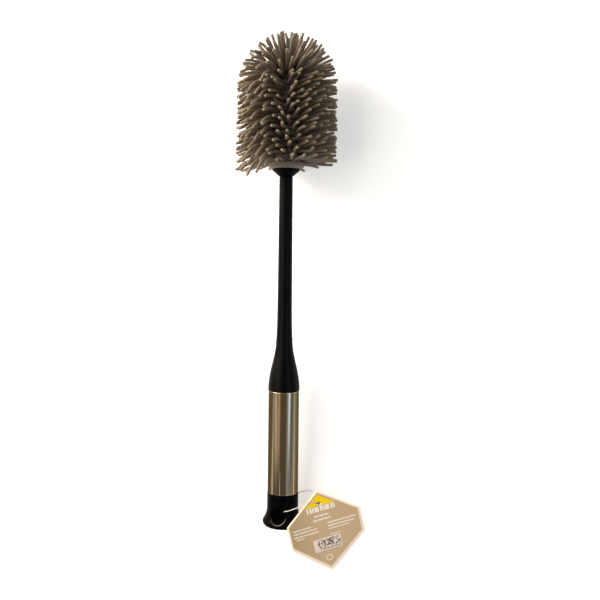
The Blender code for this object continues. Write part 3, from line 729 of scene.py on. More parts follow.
rubber = Finish("seal_rubber", roughness=0.8, specular_ior_level=0.03)
rubber_grain = rubber.noise(rubber.lying_place(), 3000.0)
rubber.paint(
    base_color=rubber.mix(rubber_grain, RUBBER_DARK, RUBBER_PALE),
    normal=rubber.bump(rubber_grain, 0.02 * MM),
)
seal_top = SEAL_BOTTOM + SEAL_THICKNESS
seal_profile = rounded([
    (SPIGOT_RADIUS + GAP, SEAL_BOTTOM, 0.2 * MM),
    (SEAL_RADIUS, SEAL_BOTTOM, 0.3 * MM),
    (SEAL_RADIUS, seal_top, 0.3 * MM),
    (SPIGOT_RADIUS + GAP, seal_top, 0.2 * MM),
])
seal_grid = turned(seal_profile)
seal = make_piece("seal_washer", on_brush(seal_grid), grid_faces(*seal_grid.shape[:2], loop=True))
settle(seal, "seal", "seal_rubber", rubber.material, "neck_seal")

# %% [markdown]
# ## The head's core
#
# The core is the black collar that shows under the bristles, and the plug inside the rubber.
# Its bore is cut with the same screw as the spigot, turned into a groove in the wall.

# %% The core
SOLID_SIDES = 20   # the solid head's bore has this many flats, and the plug clears them
PLUG_RADIUS = (SHELL_RADIUS - SHELL_WALL) * np.cos(np.pi / SOLID_SIDES) - GAP
BORE_RADIUS = SPIGOT_RADIUS + GAP
SCREWED_FROM, SCREWED_TO = COLLAR_BOTTOM + 0.8 * MM, COLLAR_BOTTOM + SPIGOT_LENGTH


def bore_ripple(radius, turn, height):
    """Cuts the screw's ridges into the wall of the bore."""
    screwed = (height > SCREWED_FROM) & (height < SCREWED_TO)
    screwed = screwed & (np.abs(radius - BORE_RADIUS) < ON_THE_WALL)
    groove = SCREW_DEPTH * screw_ridge(turn, height)
    return np.where(screwed, radius + groove, radius)


bore_top = COLLAR_BOTTOM + SOCKET_DEPTH
bore_heights = np.linspace(SCREWED_TO, COLLAR_BOTTOM + 0.5 * MM, SCREW_STEPS)
bore = np.stack([np.full(SCREW_STEPS, BORE_RADIUS), bore_heights], axis=1)
core_profile = np.concatenate([
    [(0.0, bore_top), (BORE_RADIUS, bore_top)],
    bore,
    rounded([
        (BORE_RADIUS, COLLAR_BOTTOM + 0.4 * MM, 0.0),
        (BORE_RADIUS, COLLAR_BOTTOM, 0.2 * MM),
        (COLLAR_NECK_RADIUS, COLLAR_BOTTOM, 0.3 * MM),
        (COLLAR_RADIUS, COLLAR_TOP - 0.5 * MM, 0.3 * MM),
        (COLLAR_RADIUS, COLLAR_TOP, 0.15 * MM),
        (PLUG_RADIUS, COLLAR_TOP, 0.1 * MM),
        (PLUG_RADIUS, COLLAR_TOP + 1 * MM, 0.0),
    ]),
    arc((0.0, DOME_Z), PLUG_RADIUS, 0, 90, 14),
])
core_grid = turned(core_profile, ripple=bore_ripple)
core = make_piece("collar_and_plug", on_brush(core_grid), tube_faces(core_grid))
settle(core, "head", "black_plastic", grained_black, "head_core")

# %% [markdown]
# ## Taupe silicone
#
# Silicone rubber is satin and slightly uneven, as dust clings to it. Each bristle has its own tone, which is
# lower on the right of the head as painted shade. All of them are darker at the root, as painted shade among
# the bristles, and paler towards the tip, where they are rubbed and carry a painted highlight. Both are
# marks on the mesh: along is 0 at a root and 1 at a tip, and tone is a number for each bristle. The finish
# mixes its colours from them.

# %% Silicone
# At the root the colour is painted shade. Towards the tip it is rubbed and has a painted highlight.
DEEP_SHADE_DARK, DEEP_SHADE_PALE = (0.086, 0.066, 0.050), (0.132, 0.102, 0.077)
RUBBED_LIT_DARK, RUBBED_LIT_PALE = (0.155, 0.117, 0.075), (0.226, 0.174, 0.112)
RUBBED_LIT_POWER = 1.6                            # how late along a bristle the paler colour comes
RUBBED_LIT_LEAST, RUBBED_LIT_UNEVEN = 0.75, 0.40      # its strength, and what the mottling adds
SATIN_SMOOTHEST, SATIN_ROUGHER = 0.42, 0.25   # roughness, and what the mottling adds

silicone = Finish("taupe_silicone", specular_ior_level=0.35)
along = silicone.mark("along")
tone = silicone.mark("tone")
mottle = silicone.noise(silicone.lying_place(), 260.0, 4.0)
# Painted shade at the root, and a rubbed and painted highlight towards the tip.
deep = silicone.mix(tone, DEEP_SHADE_DARK, DEEP_SHADE_PALE)
rubbed_and_lit = silicone.mix(tone, RUBBED_LIT_DARK, RUBBED_LIT_PALE)
share = silicone.math("POWER", along, RUBBED_LIT_POWER) * (mottle * RUBBED_LIT_UNEVEN + RUBBED_LIT_LEAST)
silicone.paint(
    base_color=silicone.mix(share, deep, rubbed_and_lit),
    roughness=mottle * SATIN_ROUGHER + SATIN_SMOOTHEST,
    normal=silicone.bump(silicone.noise(silicone.lying_place(), 1500.0), 0.03 * MM),
)

# %% [markdown]
# ## The rubber shell
#
# The bristles grow out of a rubber sock that is drawn over the plug. Its foot is a thicker rim, chamfered to
# carry on the line of the collar's cone. The sock takes the bristles' root colour, with its painted shade,
# and the rim is a little paler than the rest, which the bristles hide.

# %% The shell
RIM_PALE, RIM_FADE, SHELL_TONE = 0.2, 4 * MM, 0.3
shell_inner = SHELL_RADIUS - SHELL_WALL
rim_top = RIM_BOTTOM + RIM_HEIGHT
shell_profile = np.concatenate([
    arc((0.0, DOME_Z), shell_inner, 90, 0, 14),
    rounded([
        (shell_inner, DOME_Z - 1 * MM, 0.0),
        (shell_inner, RIM_BOTTOM, 0.3 * MM),
        (COLLAR_RADIUS + GAP, RIM_BOTTOM, 0.3 * MM),
        (RIM_RADIUS, RIM_BOTTOM + RIM_CHAMFER, 0.8 * MM),
        (RIM_RADIUS, rim_top, 0.9 * MM),
        (SHELL_RADIUS, rim_top, 0.5 * MM),
        (SHELL_RADIUS, DOME_Z - 1 * MM, 0.0),
    ]),
    arc((0.0, DOME_Z), SHELL_RADIUS, 0, 90, 20),
])
shell_grid = turned(shell_profile)
# The shell has the root colour's painted shade, and is a little paler from just above the rim's top
# downwards.
rim_pale = RIM_PALE * np.clip((rim_top + 1 * MM - shell_grid[..., 2]) / RIM_FADE, 0, 1)
shell_marks = {"along": rim_pale.ravel(), "tone": np.full(rim_pale.size, SHELL_TONE)}
shell = make_piece("silicone_shell", on_brush(shell_grid), tube_faces(shell_grid), shell_marks)
settle(shell, "head", "taupe_silicone", silicone.material, "bristle_head")

# %% [markdown]
# ## The bristles
#
# The bristles stand in rows that are staggered by half a step, and in rings over the dome.
# One bristle is a tube with a blunt tip. All of them are worked out together: the first
# axis of the array counts bristles, the second runs along them and the third round them.

# %% Where the bristles grow
BRISTLES_ROUND, BRISTLE_ROWS, DOME_RINGS, DOME_EXTRA = 24, 15, 7, 0.6
FIRST_ROW, TIP_RADIUS = 6.6 * MM, 41.0 * MM
ROOT_SINK, SPLAY_REACH = 1.0 * MM, 6.0 * MM

row, place_in_row = np.meshgrid(np.arange(BRISTLE_ROWS), np.arange(BRISTLES_ROUND), indexing="ij")
row_pitch = (DOME_CENTRE - FIRST_ROW) / (BRISTLE_ROWS - 1)
row_turn = np.pi / 2 + np.pi / BRISTLES_ROUND * (2 * place_in_row + (row + 1) % 2)
row_height = RIM_BOTTOM + FIRST_ROW + row * row_pitch

rings = np.arange(1, DOME_RINGS + 1)
ring_slopes = np.pi / 2 * rings / DOME_RINGS
ring_counts = np.round(BRISTLES_ROUND * np.cos(ring_slopes) + DOME_EXTRA).astype(int)
ring = np.repeat(rings, ring_counts)
place_in_ring = np.arange(len(ring)) - np.repeat(np.cumsum(ring_counts) - ring_counts, ring_counts)
ring_share = (place_in_ring + 0.5 * (ring % 2)) / np.repeat(ring_counts, ring_counts)
ring_turn = np.pi / 2 + 2 * np.pi * ring_share

slope = np.concatenate([np.zeros(row.size), np.repeat(ring_slopes, ring_counts)])
turn = np.concatenate([row_turn.ravel(), ring_turn])
height = np.concatenate([row_height.ravel(), np.full(len(ring), DOME_Z)])
count = len(slope)
print("there are", count, "bristles")

# %% [markdown]
# ## How a bristle bends
#
# Soft silicone remembers how it was kept. On the left the bristles rise from the shell, arch
# over and droop, and a little to the left of the front their tips hook right down. To the
# right of the front they were pushed up towards the head's top. The lowest rows hang furthest,
# over the rim. Neighbours lean together, so tufts form with gaps between them: two waves over
# the head's surface give that. What is left is chance, one number for each bristle, and a
# seed makes it the same each time.
#
# Each of these is a distance that a tip moves, times a lobe: a number for each bristle that
# is 1 on the side where the bend is strongest, and fades round the axis.

# %% What chance gives each bristle
LENGTH_SPREAD, TOP_TRIM, ROOT_SPREAD = 0.05, 0.05, 0.55 * MM
draw = np.random.default_rng(12)
length_share = 1 - LENGTH_SPREAD * draw.random(count) ** 2 - TOP_TRIM * np.sin(slope) ** 2
side_lean, rise_lean, side_wriggle, rise_wriggle = draw.normal(size=(4, count))
bristle_tone = draw.random(count)
root_shift, root_lift, arch_chance = draw.normal(size=(3, count))
on_side = slope == 0
turn = turn + root_shift * on_side * ROOT_SPREAD / SHELL_RADIUS
height = height + root_lift * on_side * ROOT_SPREAD

# %% Directions and lobes
FRONT_SIDE, RIGHT_SIDE = -np.pi / 2, 0.0
HUNG_TO, LIFTED_FROM, FADE = np.radians([-86, -64, 11])  # between the two they point straight out
HOOKED_TO, HOOK_FADE = np.radians([-100, 6])             # and the hooks end further left


def lobe(side, power):
    """1 on one side of the axis, and less the further round from it: a half and half the
    cosine of the turn from that side, to a power."""
    return (0.5 + 0.5 * np.cos(turn - side)) ** power


def rising(place, fade):
    """A smooth step round the axis, from 0 before a place to 1 after it."""
    return 0.5 + 0.5 * np.tanh((turned_to - place) / fade)


flat = np.cos(slope)
outward = np.stack([np.cos(turn) * flat, np.sin(turn) * flat, np.sin(slope)], axis=1)
sideways = np.stack([-np.sin(turn), np.cos(turn), np.zeros(count)], axis=1)
upward = np.cross(outward, sideways)
turned_to = (turn + np.pi) % (2 * np.pi) - np.pi
in_front = lobe(FRONT_SIDE, 1) > 0.5
left_of_it = np.where(in_front, 1 - rising(HUNG_TO, FADE), 1)
right_of_it = np.where(in_front, rising(LIFTED_FROM, FADE), 1)
over_dome = flat**2
lowest = np.exp((RIM_BOTTOM + FIRST_ROW - height) / SPLAY_REACH)
up_share = np.clip((height - RIM_BOTTOM) / DOME_CENTRE, 0, 1)

# %% Bends
DROOP, DROOP_SIDE, DROOP_LOBE, ARCH = 3.9 * MM, np.radians(-150), 1.3, 7.5 * MM
HOOK, HOOK_SIDE, HOOK_LOBE, HOOK_ARCH = 3.8 * MM, np.radians(-113), 14, 8.0 * MM
LIFT, LIFT_SIDE, LIFT_LOBE = 2.8 * MM, np.radians(-48), 4
HANG, HANG_SIDE, HANG_LOBE = 4.5 * MM, np.radians(-118), 6
SPLAY_ROUND, SPLAY_LEFT = 0.72 * MM, 0.96 * MM  # of the lowest row, all round and on the left
HOOK_SPREAD, HOOK_LOWEST, ARCH_SPREAD, ARCH_LOWEST = 0.3, 0.3, 0.2, -0.5
LIFT_LOWEST, LIFT_TOP = -0.6, -0.7

hung = lobe(DROOP_SIDE, DROOP_LOBE) * left_of_it
hooked = lobe(HOOK_SIDE, HOOK_LOBE) * (1 - rising(HOOKED_TO, HOOK_FADE))
pushed = lobe(LIFT_SIDE, LIFT_LOBE) * right_of_it
splay = lowest * (SPLAY_ROUND + SPLAY_LEFT * hung + HANG * lobe(HANG_SIDE, HANG_LOBE))
lift = LIFT * pushed * (1 + LIFT_LOWEST * lowest) * (1 + LIFT_TOP * up_share**2)
tip_rise = (lift - DROOP * hung) * over_dome - splay
hook = HOOK * hooked * (1 + HOOK_SPREAD * arch_chance + HOOK_LOWEST * lowest) * over_dome
arched = (ARCH * hung + HOOK_ARCH * hooked) * (1 + ARCH_SPREAD * arch_chance)
arch = (arched * (1 + ARCH_LOWEST * lowest) + splay / 2) * over_dome

# %% Leans and tones
WAVE_SIZE, WAVE_RISE = 1.4 * MM, 0.8 * MM
SIDE_SPREAD, RISE_SPREAD, WRIGGLE = 0.8 * MM, 0.6 * MM, 0.5 * MM
RIGHT_SHADE, RIGHT_SHADE_LOBE = 0.85, 3
up_head = (height - RIM_BOTTOM) / (1 * MM) + np.degrees(slope) / 2
side_wave = WAVE_SIZE * np.sin(5 * turn + up_head / 7) * np.cos(up_head / 9 - 2 * turn)
rise_wave = WAVE_RISE * np.sin(4 * turn - up_head / 5 + 1)
side_lean = side_wave + SIDE_SPREAD * side_lean
rise_lean = rise_wave + RISE_SPREAD * rise_lean
# The bristles on the right get a darker tone: painted shade.
bristle_tone = bristle_tone * (1 - RIGHT_SHADE * lobe(RIGHT_SIDE, RIGHT_SHADE_LOBE))
root = SHELL_RADIUS - ROOT_SINK
reach = (TIP_RADIUS - root) * length_share
print("tips rise by", np.round(np.percentile(tip_rise / MM, [0, 50, 100]), 1), "mm")

# %% The bristles' shape
BRISTLE_SIDES = 7
BRISTLE_ROOT_RADIUS, BRISTLE_TIP_RADIUS = 1.5 * MM, 1.15 * MM
BODY_SHARES = np.array([0.0, 0.2, 0.4, 0.6, 0.8])
TIP_LENGTH = 0.6 * MM
TIP_RINGS = ((0.0, 1.0), (0.8, 0.8))  # share of the tip's length, and of its radius
NEARBY = 0.01  # a share of the length, over which the direction is measured


def bristle_line(share):
    """From its root a bristle goes outwards by share of its reach. It rises by tip_rise times
    share to the power 1.5 and by arch times share (1 - share), and sinks by hook times share
    to the power 4, which only the tip feels. It leans by the square of share, and wriggles
    by the sine of a whole turn."""
    out = root + reach[:, None] * share[None, :]
    rise = tip_rise[:, None] * share[None, :] ** 1.5 + arch[:, None] * (share - share**2)[None, :]
    rise = rise - hook[:, None] * share[None, :] ** 4
    lean, bend = (share**2)[None, :, None], (np.sin(2 * np.pi * share) * WRIGGLE)[None, :, None]
    line = np.array([0, 0, 1.0]) * (height[:, None] + rise)[..., None]
    line = line + outward[:, None] * out[..., None]
    side = lean * side_lean[:, None, None] + bend * side_wriggle[:, None, None]
    lift = lean * rise_lean[:, None, None] + bend * rise_wriggle[:, None, None]
    return line + side * sideways[:, None] + lift * upward[:, None]


# %% All the bristles
tip_share = TIP_LENGTH / (TIP_RADIUS - root)
tip_shares = [1 - tip_share * (1 - along_tip) for along_tip, _ in TIP_RINGS]
shares = np.array([*BODY_SHARES, *tip_shares, 1.0])
line = bristle_line(shares)
ahead = unit(bristle_line(shares + NEARBY) - bristle_line(np.maximum(shares - NEARBY, 0.0)))
across = unit(np.cross(ahead, sideways[:, None]))
beside = np.cross(across, ahead)
body_radii = BRISTLE_ROOT_RADIUS + (BRISTLE_TIP_RADIUS - BRISTLE_ROOT_RADIUS) * BODY_SHARES
radii = np.array([*body_radii, *(BRISTLE_TIP_RADIUS * wide for _, wide in TIP_RINGS), 0.0])
around = full_turn(BRISTLE_SIDES)[None, None, :, None]
section = np.cos(around) * beside[:, :, None] + np.sin(around) * across[:, :, None]
bristle_grid = line[:, :, None] + radii[None, :, None, None] * section
root_end = np.repeat(line[:, :1, None], BRISTLE_SIDES, axis=2)
bristle_grid = np.concatenate([root_end, bristle_grid], axis=1)

# %% The bristles' mesh
one = grid_faces(len(shares) + 1, BRISTLE_SIDES)
per_bristle = (len(shares) + 1) * BRISTLE_SIDES
all_faces = (one[None] + per_bristle * np.arange(count)[:, None, None]).reshape(-1, 4)
grid_shape = bristle_grid.shape[:3]
marks = {
    "along": np.broadcast_to(np.array([0.0, *shares])[None, :, None], grid_shape).ravel(),
    "tone": np.broadcast_to(bristle_tone[:, None, None], grid_shape).ravel(),
}
lying_bristles = on_brush(bristle_grid)
lying_bristles[..., 2] = np.maximum(lying_bristles[..., 2], 0.0)  # the table flattens the lowest
bristles = make_piece("silicone_bristles", lying_bristles, all_faces, marks)
settle(bristles, "head", "taupe_silicone", silicone.material, "bristle_head")

# %% [markdown]
# ## The steel sleeve
#
# The sleeve is a thin polished tube. A real one is bright where the room is bright and dark where it is
# dark, so it shows streaks all along. Half of them come from the lamps here. The other half are painted
# reflections and painted shade in the finish, in straw, brown and blue-grey, over fine lengthwise polishing
# lines. The painted part has two layers: broad bands, which depend on the angle round the axis alone, and
# narrow streaks over them, which may wander and grow stronger or weaker on their way up. A Math node works
# the angle out from the brush's own coordinates.

# %% Polished steel
# The bands' colours are painted reflections, with painted shade towards the sides.
STEEL_BANDS = [  # degrees round from the side that faced the camera, and the colour there
    (-90, (0.065, 0.055, 0.042)),
    (-56, (0.085, 0.068, 0.046)),
    (-46, (0.20, 0.145, 0.085)),
    (-32, (0.16, 0.115, 0.07)),
    (-20, (0.13, 0.09, 0.055)),
    (-8, (0.16, 0.105, 0.055)),
    (8, (0.14, 0.09, 0.05)),
    (14, (0.12, 0.095, 0.065)),
    (24, (0.13, 0.12, 0.10)),
    (35, (0.21, 0.175, 0.115)),
    (50, (0.13, 0.11, 0.07)),
    (65, (0.14, 0.125, 0.085)),
    (90, (0.10, 0.08, 0.055)),
    (125, (0.34, 0.30, 0.23)),
    (155, (0.14, 0.115, 0.08)),
    (180, (0.36, 0.35, 0.33)),
    (210, (0.14, 0.11, 0.08)),
    (240, (0.36, 0.32, 0.25)),
]
CREAM_LIGHT, BLUE_LIGHT, BROWN_SHADE = (1.0, 0.84, 0.58), (0.80, 0.90, 0.96), (0.03, 0.022, 0.013)
# A streak is a painted highlight or a painted shade: degrees at the foot and what is added by the top, half
# its width, its strength at the foot and what is added by the top, and its colour.
STREAKS = [
    (-43.5, 1.5, 6.0, 1.40, -1.05, CREAM_LIGHT),
    (-22.5, 0.0, 8.0, 0.05, 0.85, BROWN_SHADE),
    (0.0, 0.0, 12.0, 0.08, -0.04, CREAM_LIGHT),
    (-12.0, 0.0, 2.4, 1.10, -4.00, CREAM_LIGHT),
    (19.0, 4.0, 5.5, -0.12, 0.50, BLUE_LIGHT),
    (24.0, 0.0, 7.0, 0.60, -1.10, BROWN_SHADE),
    (27.0, 0.0, 2.5, 0.20, -0.25, CREAM_LIGHT),
    (44.5, 2.0, 3.0, 0.60, -0.52, CREAM_LIGHT),
]
BAND_SCALE, BAND_START = 360.0, 90.0
WOBBLE = 2.0                            # degrees
# The two cut ends get a painted highlight.
EDGE_WIDTH, EDGE_LIGHT = 0.5 * MM, 0.3  # the tube's two cut ends catch the light
LINE_LEAST, LINE_LIGHT = 0.75, 0.50     # brightness, and what the fine lines add
LINE_SMOOTHEST, LINE_ROUGHER = 0.18, 0.14
STEEL_TINT = (0.45, 0.38, 0.30, 1.0)

# %% Painted streaks of light and shade
def streak(finish, angle, height, place, drift, half, strength, change):
    """A line along the tube: the distance in degrees from its place, as a share of half, taken
    from 1, times a strength that changes with the height, and neither below 0."""
    beside = abs(angle - (height * drift + place)) / half
    strong = finish.math("MAXIMUM", height * change + strength, 0.0)
    return finish.math("MAXIMUM", 1 - beside, 0.0) * strong


# %% The steel's finish
def steel_finish():
    """Painted reflections and shade: bands by the angle from the side that faced the camera, streaks over
    them, and a painted highlight on the two ends; and fine lines along.
    """
    finish = Finish("polished_steel", metallic=1.0, specular_tint=STEEL_TINT)
    across, depth, up = finish.parts(finish.lying_place())
    angle = finish.math("ARCTAN2", across, 0 - depth) * float(np.degrees(1))
    wobble = finish.noise(finish.lying_place((1.0, 1.0, 30.0)), 500.0)
    angle = angle - float(np.degrees(CAMERA_ROUND)) + (wobble - 0.5) * WOBBLE
    height = (up - SLEEVE_BOTTOM) / SLEEVE_LENGTH
    turn_share = finish.math("FRACT", (angle + BAND_START) / BAND_SCALE)
    # Painted reflections and painted shade: the bands, then the streaks over them.
    stops = [((degrees + BAND_START) / BAND_SCALE, colour) for degrees, colour in STEEL_BANDS]
    shown = finish.node("ShaderNodeValToRGB", {"stops": stops}, {0: turn_share})
    for *line, colour in STREAKS:
        shown = finish.mix(streak(finish, angle, height, *line), shown, colour)
    # A painted highlight on the two cut ends.
    to_the_end = SLEEVE_LENGTH / 2 - abs(up - (SLEEVE_BOTTOM + SLEEVE_TOP) / 2)
    shown = finish.mix((to_the_end < EDGE_WIDTH) * EDGE_LIGHT, shown, CREAM_LIGHT)
    lines = finish.noise(finish.lying_place((1.0, 1.0, 120.0)), 4200.0, 4.0)
    sockets = {0: shown, "Scale": lines * LINE_LIGHT + LINE_LEAST}
    shown = finish.node("ShaderNodeVectorMath", {"operation": "SCALE"}, sockets, "Vector")
    finish.paint(
        base_color=shown,
        roughness=lines * LINE_ROUGHER + LINE_SMOOTHEST,
        normal=finish.bump(lines, 0.006 * MM),
    )
    return finish.material


# %% The sleeve
SLEEVE_STEPS = 160
sleeve_profile = rounded([
    (SLEEVE_RADIUS - SLEEVE_WALL, SLEEVE_BOTTOM, 0.1 * MM),
    (SLEEVE_RADIUS, SLEEVE_BOTTOM, 0.35 * MM),
    (SLEEVE_RADIUS, SLEEVE_TOP, 0.35 * MM),
    (SLEEVE_RADIUS - SLEEVE_WALL, SLEEVE_TOP, 0.1 * MM),
])
sleeve_grid = turned(sleeve_profile, steps=SLEEVE_STEPS)
sleeve_faces = grid_faces(*sleeve_grid.shape[:2], loop=True)
sleeve = make_piece("steel_sleeve", on_brush(sleeve_grid), sleeve_faces)
settle(sleeve, "handle", "brushed_steel", steel_finish(), "grip_sleeve")

# %% [markdown]
# ## The rod inside
#
# A steel rod stiffens the stem. It is out of sight, and its solid is already the right shape,
# so the solid stays and only gets a finish: drawn steel with fine lines along it.

# %% The rod's finish
DRAWN_DARK, DRAWN_PALE = (0.42, 0.42, 0.43), (0.64, 0.64, 0.65)
DRAWN_SMOOTHEST, DRAWN_ROUGHER = 0.3, 0.2

drawn = Finish("drawn_steel", metallic=1.0)
drawn_lines = drawn.noise(drawn.lying_place((1.0, 1.0, 60.0)), 3000.0)
drawn.paint(
    base_color=drawn.mix(drawn_lines, DRAWN_DARK, DRAWN_PALE),
    roughness=drawn_lines * DRAWN_ROUGHER + DRAWN_SMOOTHEST,
    normal=drawn.bump(drawn_lines, 0.01 * MM),
)
rod = frame["nodes"]["stiffening_rod"]
rod.data.materials.clear()
rod.data.materials.append(drawn.material)

# %% [markdown]
# ## The end cap
#
# The cap flares to a rounded lip, and a hole for a hook goes right through it. A Boolean cut
# would leave a ragged edge with no rounding. So the turned side is left open in a window
# round each mouth, and a second grid fills it: its outer row is the window's own edge, its
# next rows draw in over the cap's surface to the mouth, round over the edge, run through
# the hole as its wall, and come out the same way on the other side. A moulded hole is shaped
# by a pin that is drawn out, so it is a little narrower at the back than in front.

# %% The cap's outline
cap_drop = WAIST_HEIGHT - LIP_ROUND
cap_inset = BODY_RADIUS - (LIP_RADIUS - LIP_ROUND)
FLARE_ARC = (cap_drop**2 + cap_inset**2 - LIP_ROUND**2) / (2 * (LIP_ROUND - cap_inset))
MEET = np.arcsin(cap_drop / (FLARE_ARC + LIP_ROUND))
MEET_HEIGHT = LIP_ROUND * (1 + np.sin(MEET))


def cap_radius(height):
    """The lip's circle up to where the flare's hollow arc meets it, and the waist above."""
    under = np.clip(WAIST_HEIGHT - height, 0, cap_drop)
    flare = BODY_RADIUS + FLARE_ARC - np.sqrt(FLARE_ARC**2 - under**2)
    lip = np.sqrt(np.maximum(LIP_ROUND**2 - (height - LIP_ROUND) ** 2, 0))
    return np.where(height > MEET_HEIGHT, flare, LIP_RADIUS - LIP_ROUND + lip)


lip_heights = LIP_ROUND * (1 + np.sin(np.linspace(-np.pi / 2, MEET, 16)))
waist_heights = np.linspace(MEET_HEIGHT, CAP_HEIGHT - 0.5 * MM, 34)[1:]
cap_heights = np.concatenate([lip_heights, waist_heights])
cap_side = np.stack([cap_radius(cap_heights), cap_heights], axis=1)
cap_end = CAP_HEIGHT + CAP_SPIGOT_LENGTH
FOOT_RING = 6.0 * MM  # one more ring of points on the flat end
cap_profile = np.concatenate([
    [(0.0, 0.0), (FOOT_RING, 0.0)],
    cap_side,
    rounded([
        (BODY_RADIUS, CAP_HEIGHT - 0.4 * MM, 0.0),
        (BODY_RADIUS, CAP_HEIGHT, 0.3 * MM),
        (CAP_SPIGOT_RADIUS, CAP_HEIGHT, 0.2 * MM),
        (CAP_SPIGOT_RADIUS, cap_end, 0.6 * MM),
        (0.0, cap_end, 0.0),
    ]),
])
cap_grid = turned(cap_profile)
SIDE_START = 2  # the side's first row in the profile

# %% The hole
MOUTH_ROUND, MOUTH_SLANT = 1.0 * MM, 0.2 * MM  # rounding at the mouth's sides, and how it varies
DRAFT = 0.9 * MM     # the pin that shapes the hole is this much thinner at the back
WINDOW_LOW, WINDOW_HIGH = 2.3 * MM, 21.2 * MM
WINDOW_HALF = 13     # columns on each side of the mouth's middle
FRONT_COLUMN = TURN_STEPS * 3 // 4
PATCH_SHARES = np.linspace(0, 1, 8)[1:]
MOUTH_ANGLES = np.radians(np.linspace(0, 90, 8)[1:])
WALL_SHARES = np.linspace(0, 1, 10)[1:-1]

# %% The window's edge
low = SIDE_START + int(np.argmin(np.abs(cap_heights - WINDOW_LOW)))
high = SIDE_START + int(np.argmin(np.abs(cap_heights - WINDOW_HIGH)))
left, right = FRONT_COLUMN - WINDOW_HALF, FRONT_COLUMN + WINDOW_HALF
edge_rows = np.concatenate([
    np.full(right - left, low), np.arange(low, high),
    np.full(right - left, high), np.arange(high, low, -1),
])
edge_columns = np.concatenate([
    np.arange(left, right), np.full(high - low, right),
    np.arange(right, left, -1), np.full(high - low, left),
])
front_edge = edge_rows * TURN_STEPS + edge_columns
back_edge = edge_rows * TURN_STEPS + (TURN_STEPS - edge_columns) % TURN_STEPS

edge = cap_grid[edge_rows, edge_columns]
edge_turn = np.arctan2(edge[:, 2] - HOLE_HEIGHT, edge[:, 0])
facing = np.stack([np.cos(edge_turn), np.sin(edge_turn)], axis=1)
mouth = MOUTH_ROUND - MOUTH_SLANT * np.sin(edge_turn)

# %% The hole's surface
def over_the_side(flat_place):
    """How far a point (x, height) of the side is from the middle plane of the cap."""
    return np.sqrt(cap_radius(flat_place[..., 1]) ** 2 - flat_place[..., 0] ** 2)


centre = np.array([0.0, HOLE_HEIGHT])
spread = PATCH_SHARES[:, None, None]
bend = MOUTH_ANGLES[:, None]


def mouth_rows(radius):
    """Rows from the window's edge to the brim and round into the hole, and their depths."""
    brim = centre + facing * (radius + mouth)[:, None]
    patch = edge[None, :, [0, 2]] * (1 - spread) + brim[None] * spread
    fillet = centre + facing[None] * (radius + mouth * (1 - np.sin(bend)))[..., None]
    sunk = over_the_side(fillet) - mouth * (1 - np.cos(bend))
    return np.concatenate([patch, fillet]), np.concatenate([over_the_side(patch), sunk])


front_flat, front_depth = mouth_rows(HOLE_RADIUS)
back_flat, back_depth = mouth_rows(HOLE_RADIUS - DRAFT)
inwards = WALL_SHARES[:, None]
wall_flat = front_flat[-1] * (1 - inwards[..., None]) + back_flat[-1] * inwards[..., None]
wall_depth = front_depth[-1] * (1 - inwards) - back_depth[-1] * inwards
hole_flat = np.concatenate([front_flat, wall_flat, back_flat[::-1]])
hole_depth = np.concatenate([front_depth, wall_depth, -back_depth[::-1]])
hole_grid = np.stack([hole_flat[..., 0], -hole_depth, hole_flat[..., 1]], axis=-1)

# %% The cap's faces
side_faces = tube_faces(cap_grid)
face_row, face_column = np.divmod(np.arange(len(side_faces)), TURN_STEPS)
in_rows = (face_row >= low) & (face_row < high)
back_left = (TURN_STEPS - right) % TURN_STEPS
in_front = (face_column >= left) & (face_column < right)
in_back = (face_column >= back_left) & (face_column < back_left + right - left)
side_faces = side_faces[~(in_rows & (in_front | in_back))]

hole_numbers = cap_grid.shape[0] * TURN_STEPS + np.arange(hole_grid[..., 0].size)
hole_numbers = hole_numbers.reshape(hole_grid.shape[:2])
hole_rows = np.vstack([front_edge, hole_numbers, back_edge])
hole_faces = hole_rows.ravel()[grid_faces(*hole_rows.shape)]
cap_points = np.concatenate([cap_grid.reshape(-1, 3), hole_grid.reshape(-1, 3)])
cap_faces = np.concatenate([side_faces, hole_faces])
used, cap_faces = np.unique(cap_faces, return_inverse=True)
lying_cap = on_brush(cap_points[used])
lying_cap[:, 2] = np.maximum(lying_cap[:, 2], 0.0)  # the table is the lowest it goes

# %% The cap's marks
# A painted highlight along the lower edge of the hole's mouth, and painted shade inside the hole.
HIGHLIGHT_ROWS = 3                    # of the rows that round over the mouth's edge
HIGHLIGHT_FROM = 0.2                  # how far below the middle, as a share of the radius
HIGHLIGHT_MIDDLE, HIGHLIGHT_RIGHT = 0.6, 0.5   # the strength at the bottom, and what the right side adds

mouth_row = len(PATCH_SHARES)
highlight_share = np.sqrt(np.maximum(-np.sin(edge_turn) - HIGHLIGHT_FROM, 0))
worn = np.zeros(hole_grid.shape[:2])
worn[mouth_row:mouth_row + HIGHLIGHT_ROWS] = highlight_share * (HIGHLIGHT_MIDDLE + HIGHLIGHT_RIGHT * np.cos(edge_turn))
# Inside the hole: painted shade, and a rougher surface.
within = np.zeros(hole_grid.shape[:2])
within[mouth_row + HIGHLIGHT_ROWS:-mouth_row - HIGHLIGHT_ROWS] = 1.0
side_marks = np.zeros(cap_grid[..., 0].size)
cap_marks = {
    "within": np.concatenate([side_marks, within.ravel()])[used],
    "worn": np.concatenate([side_marks, worn.ravel()])[used],
}
cap = make_piece("moulded_end_cap", lying_cap, cap_faces.reshape(-1, 4), cap_marks)
settle(cap, "handle", "black_plastic", cap_black, "end_cap")

# %% [markdown]
# ## The tag's plane
#
# The tag leans on the cap's lip, and its lowest corner is just over the table. Three angles
# and a distance along the brush place it. Its own axes run across, upward and out of the
# card, and a point on the tag is given in them.

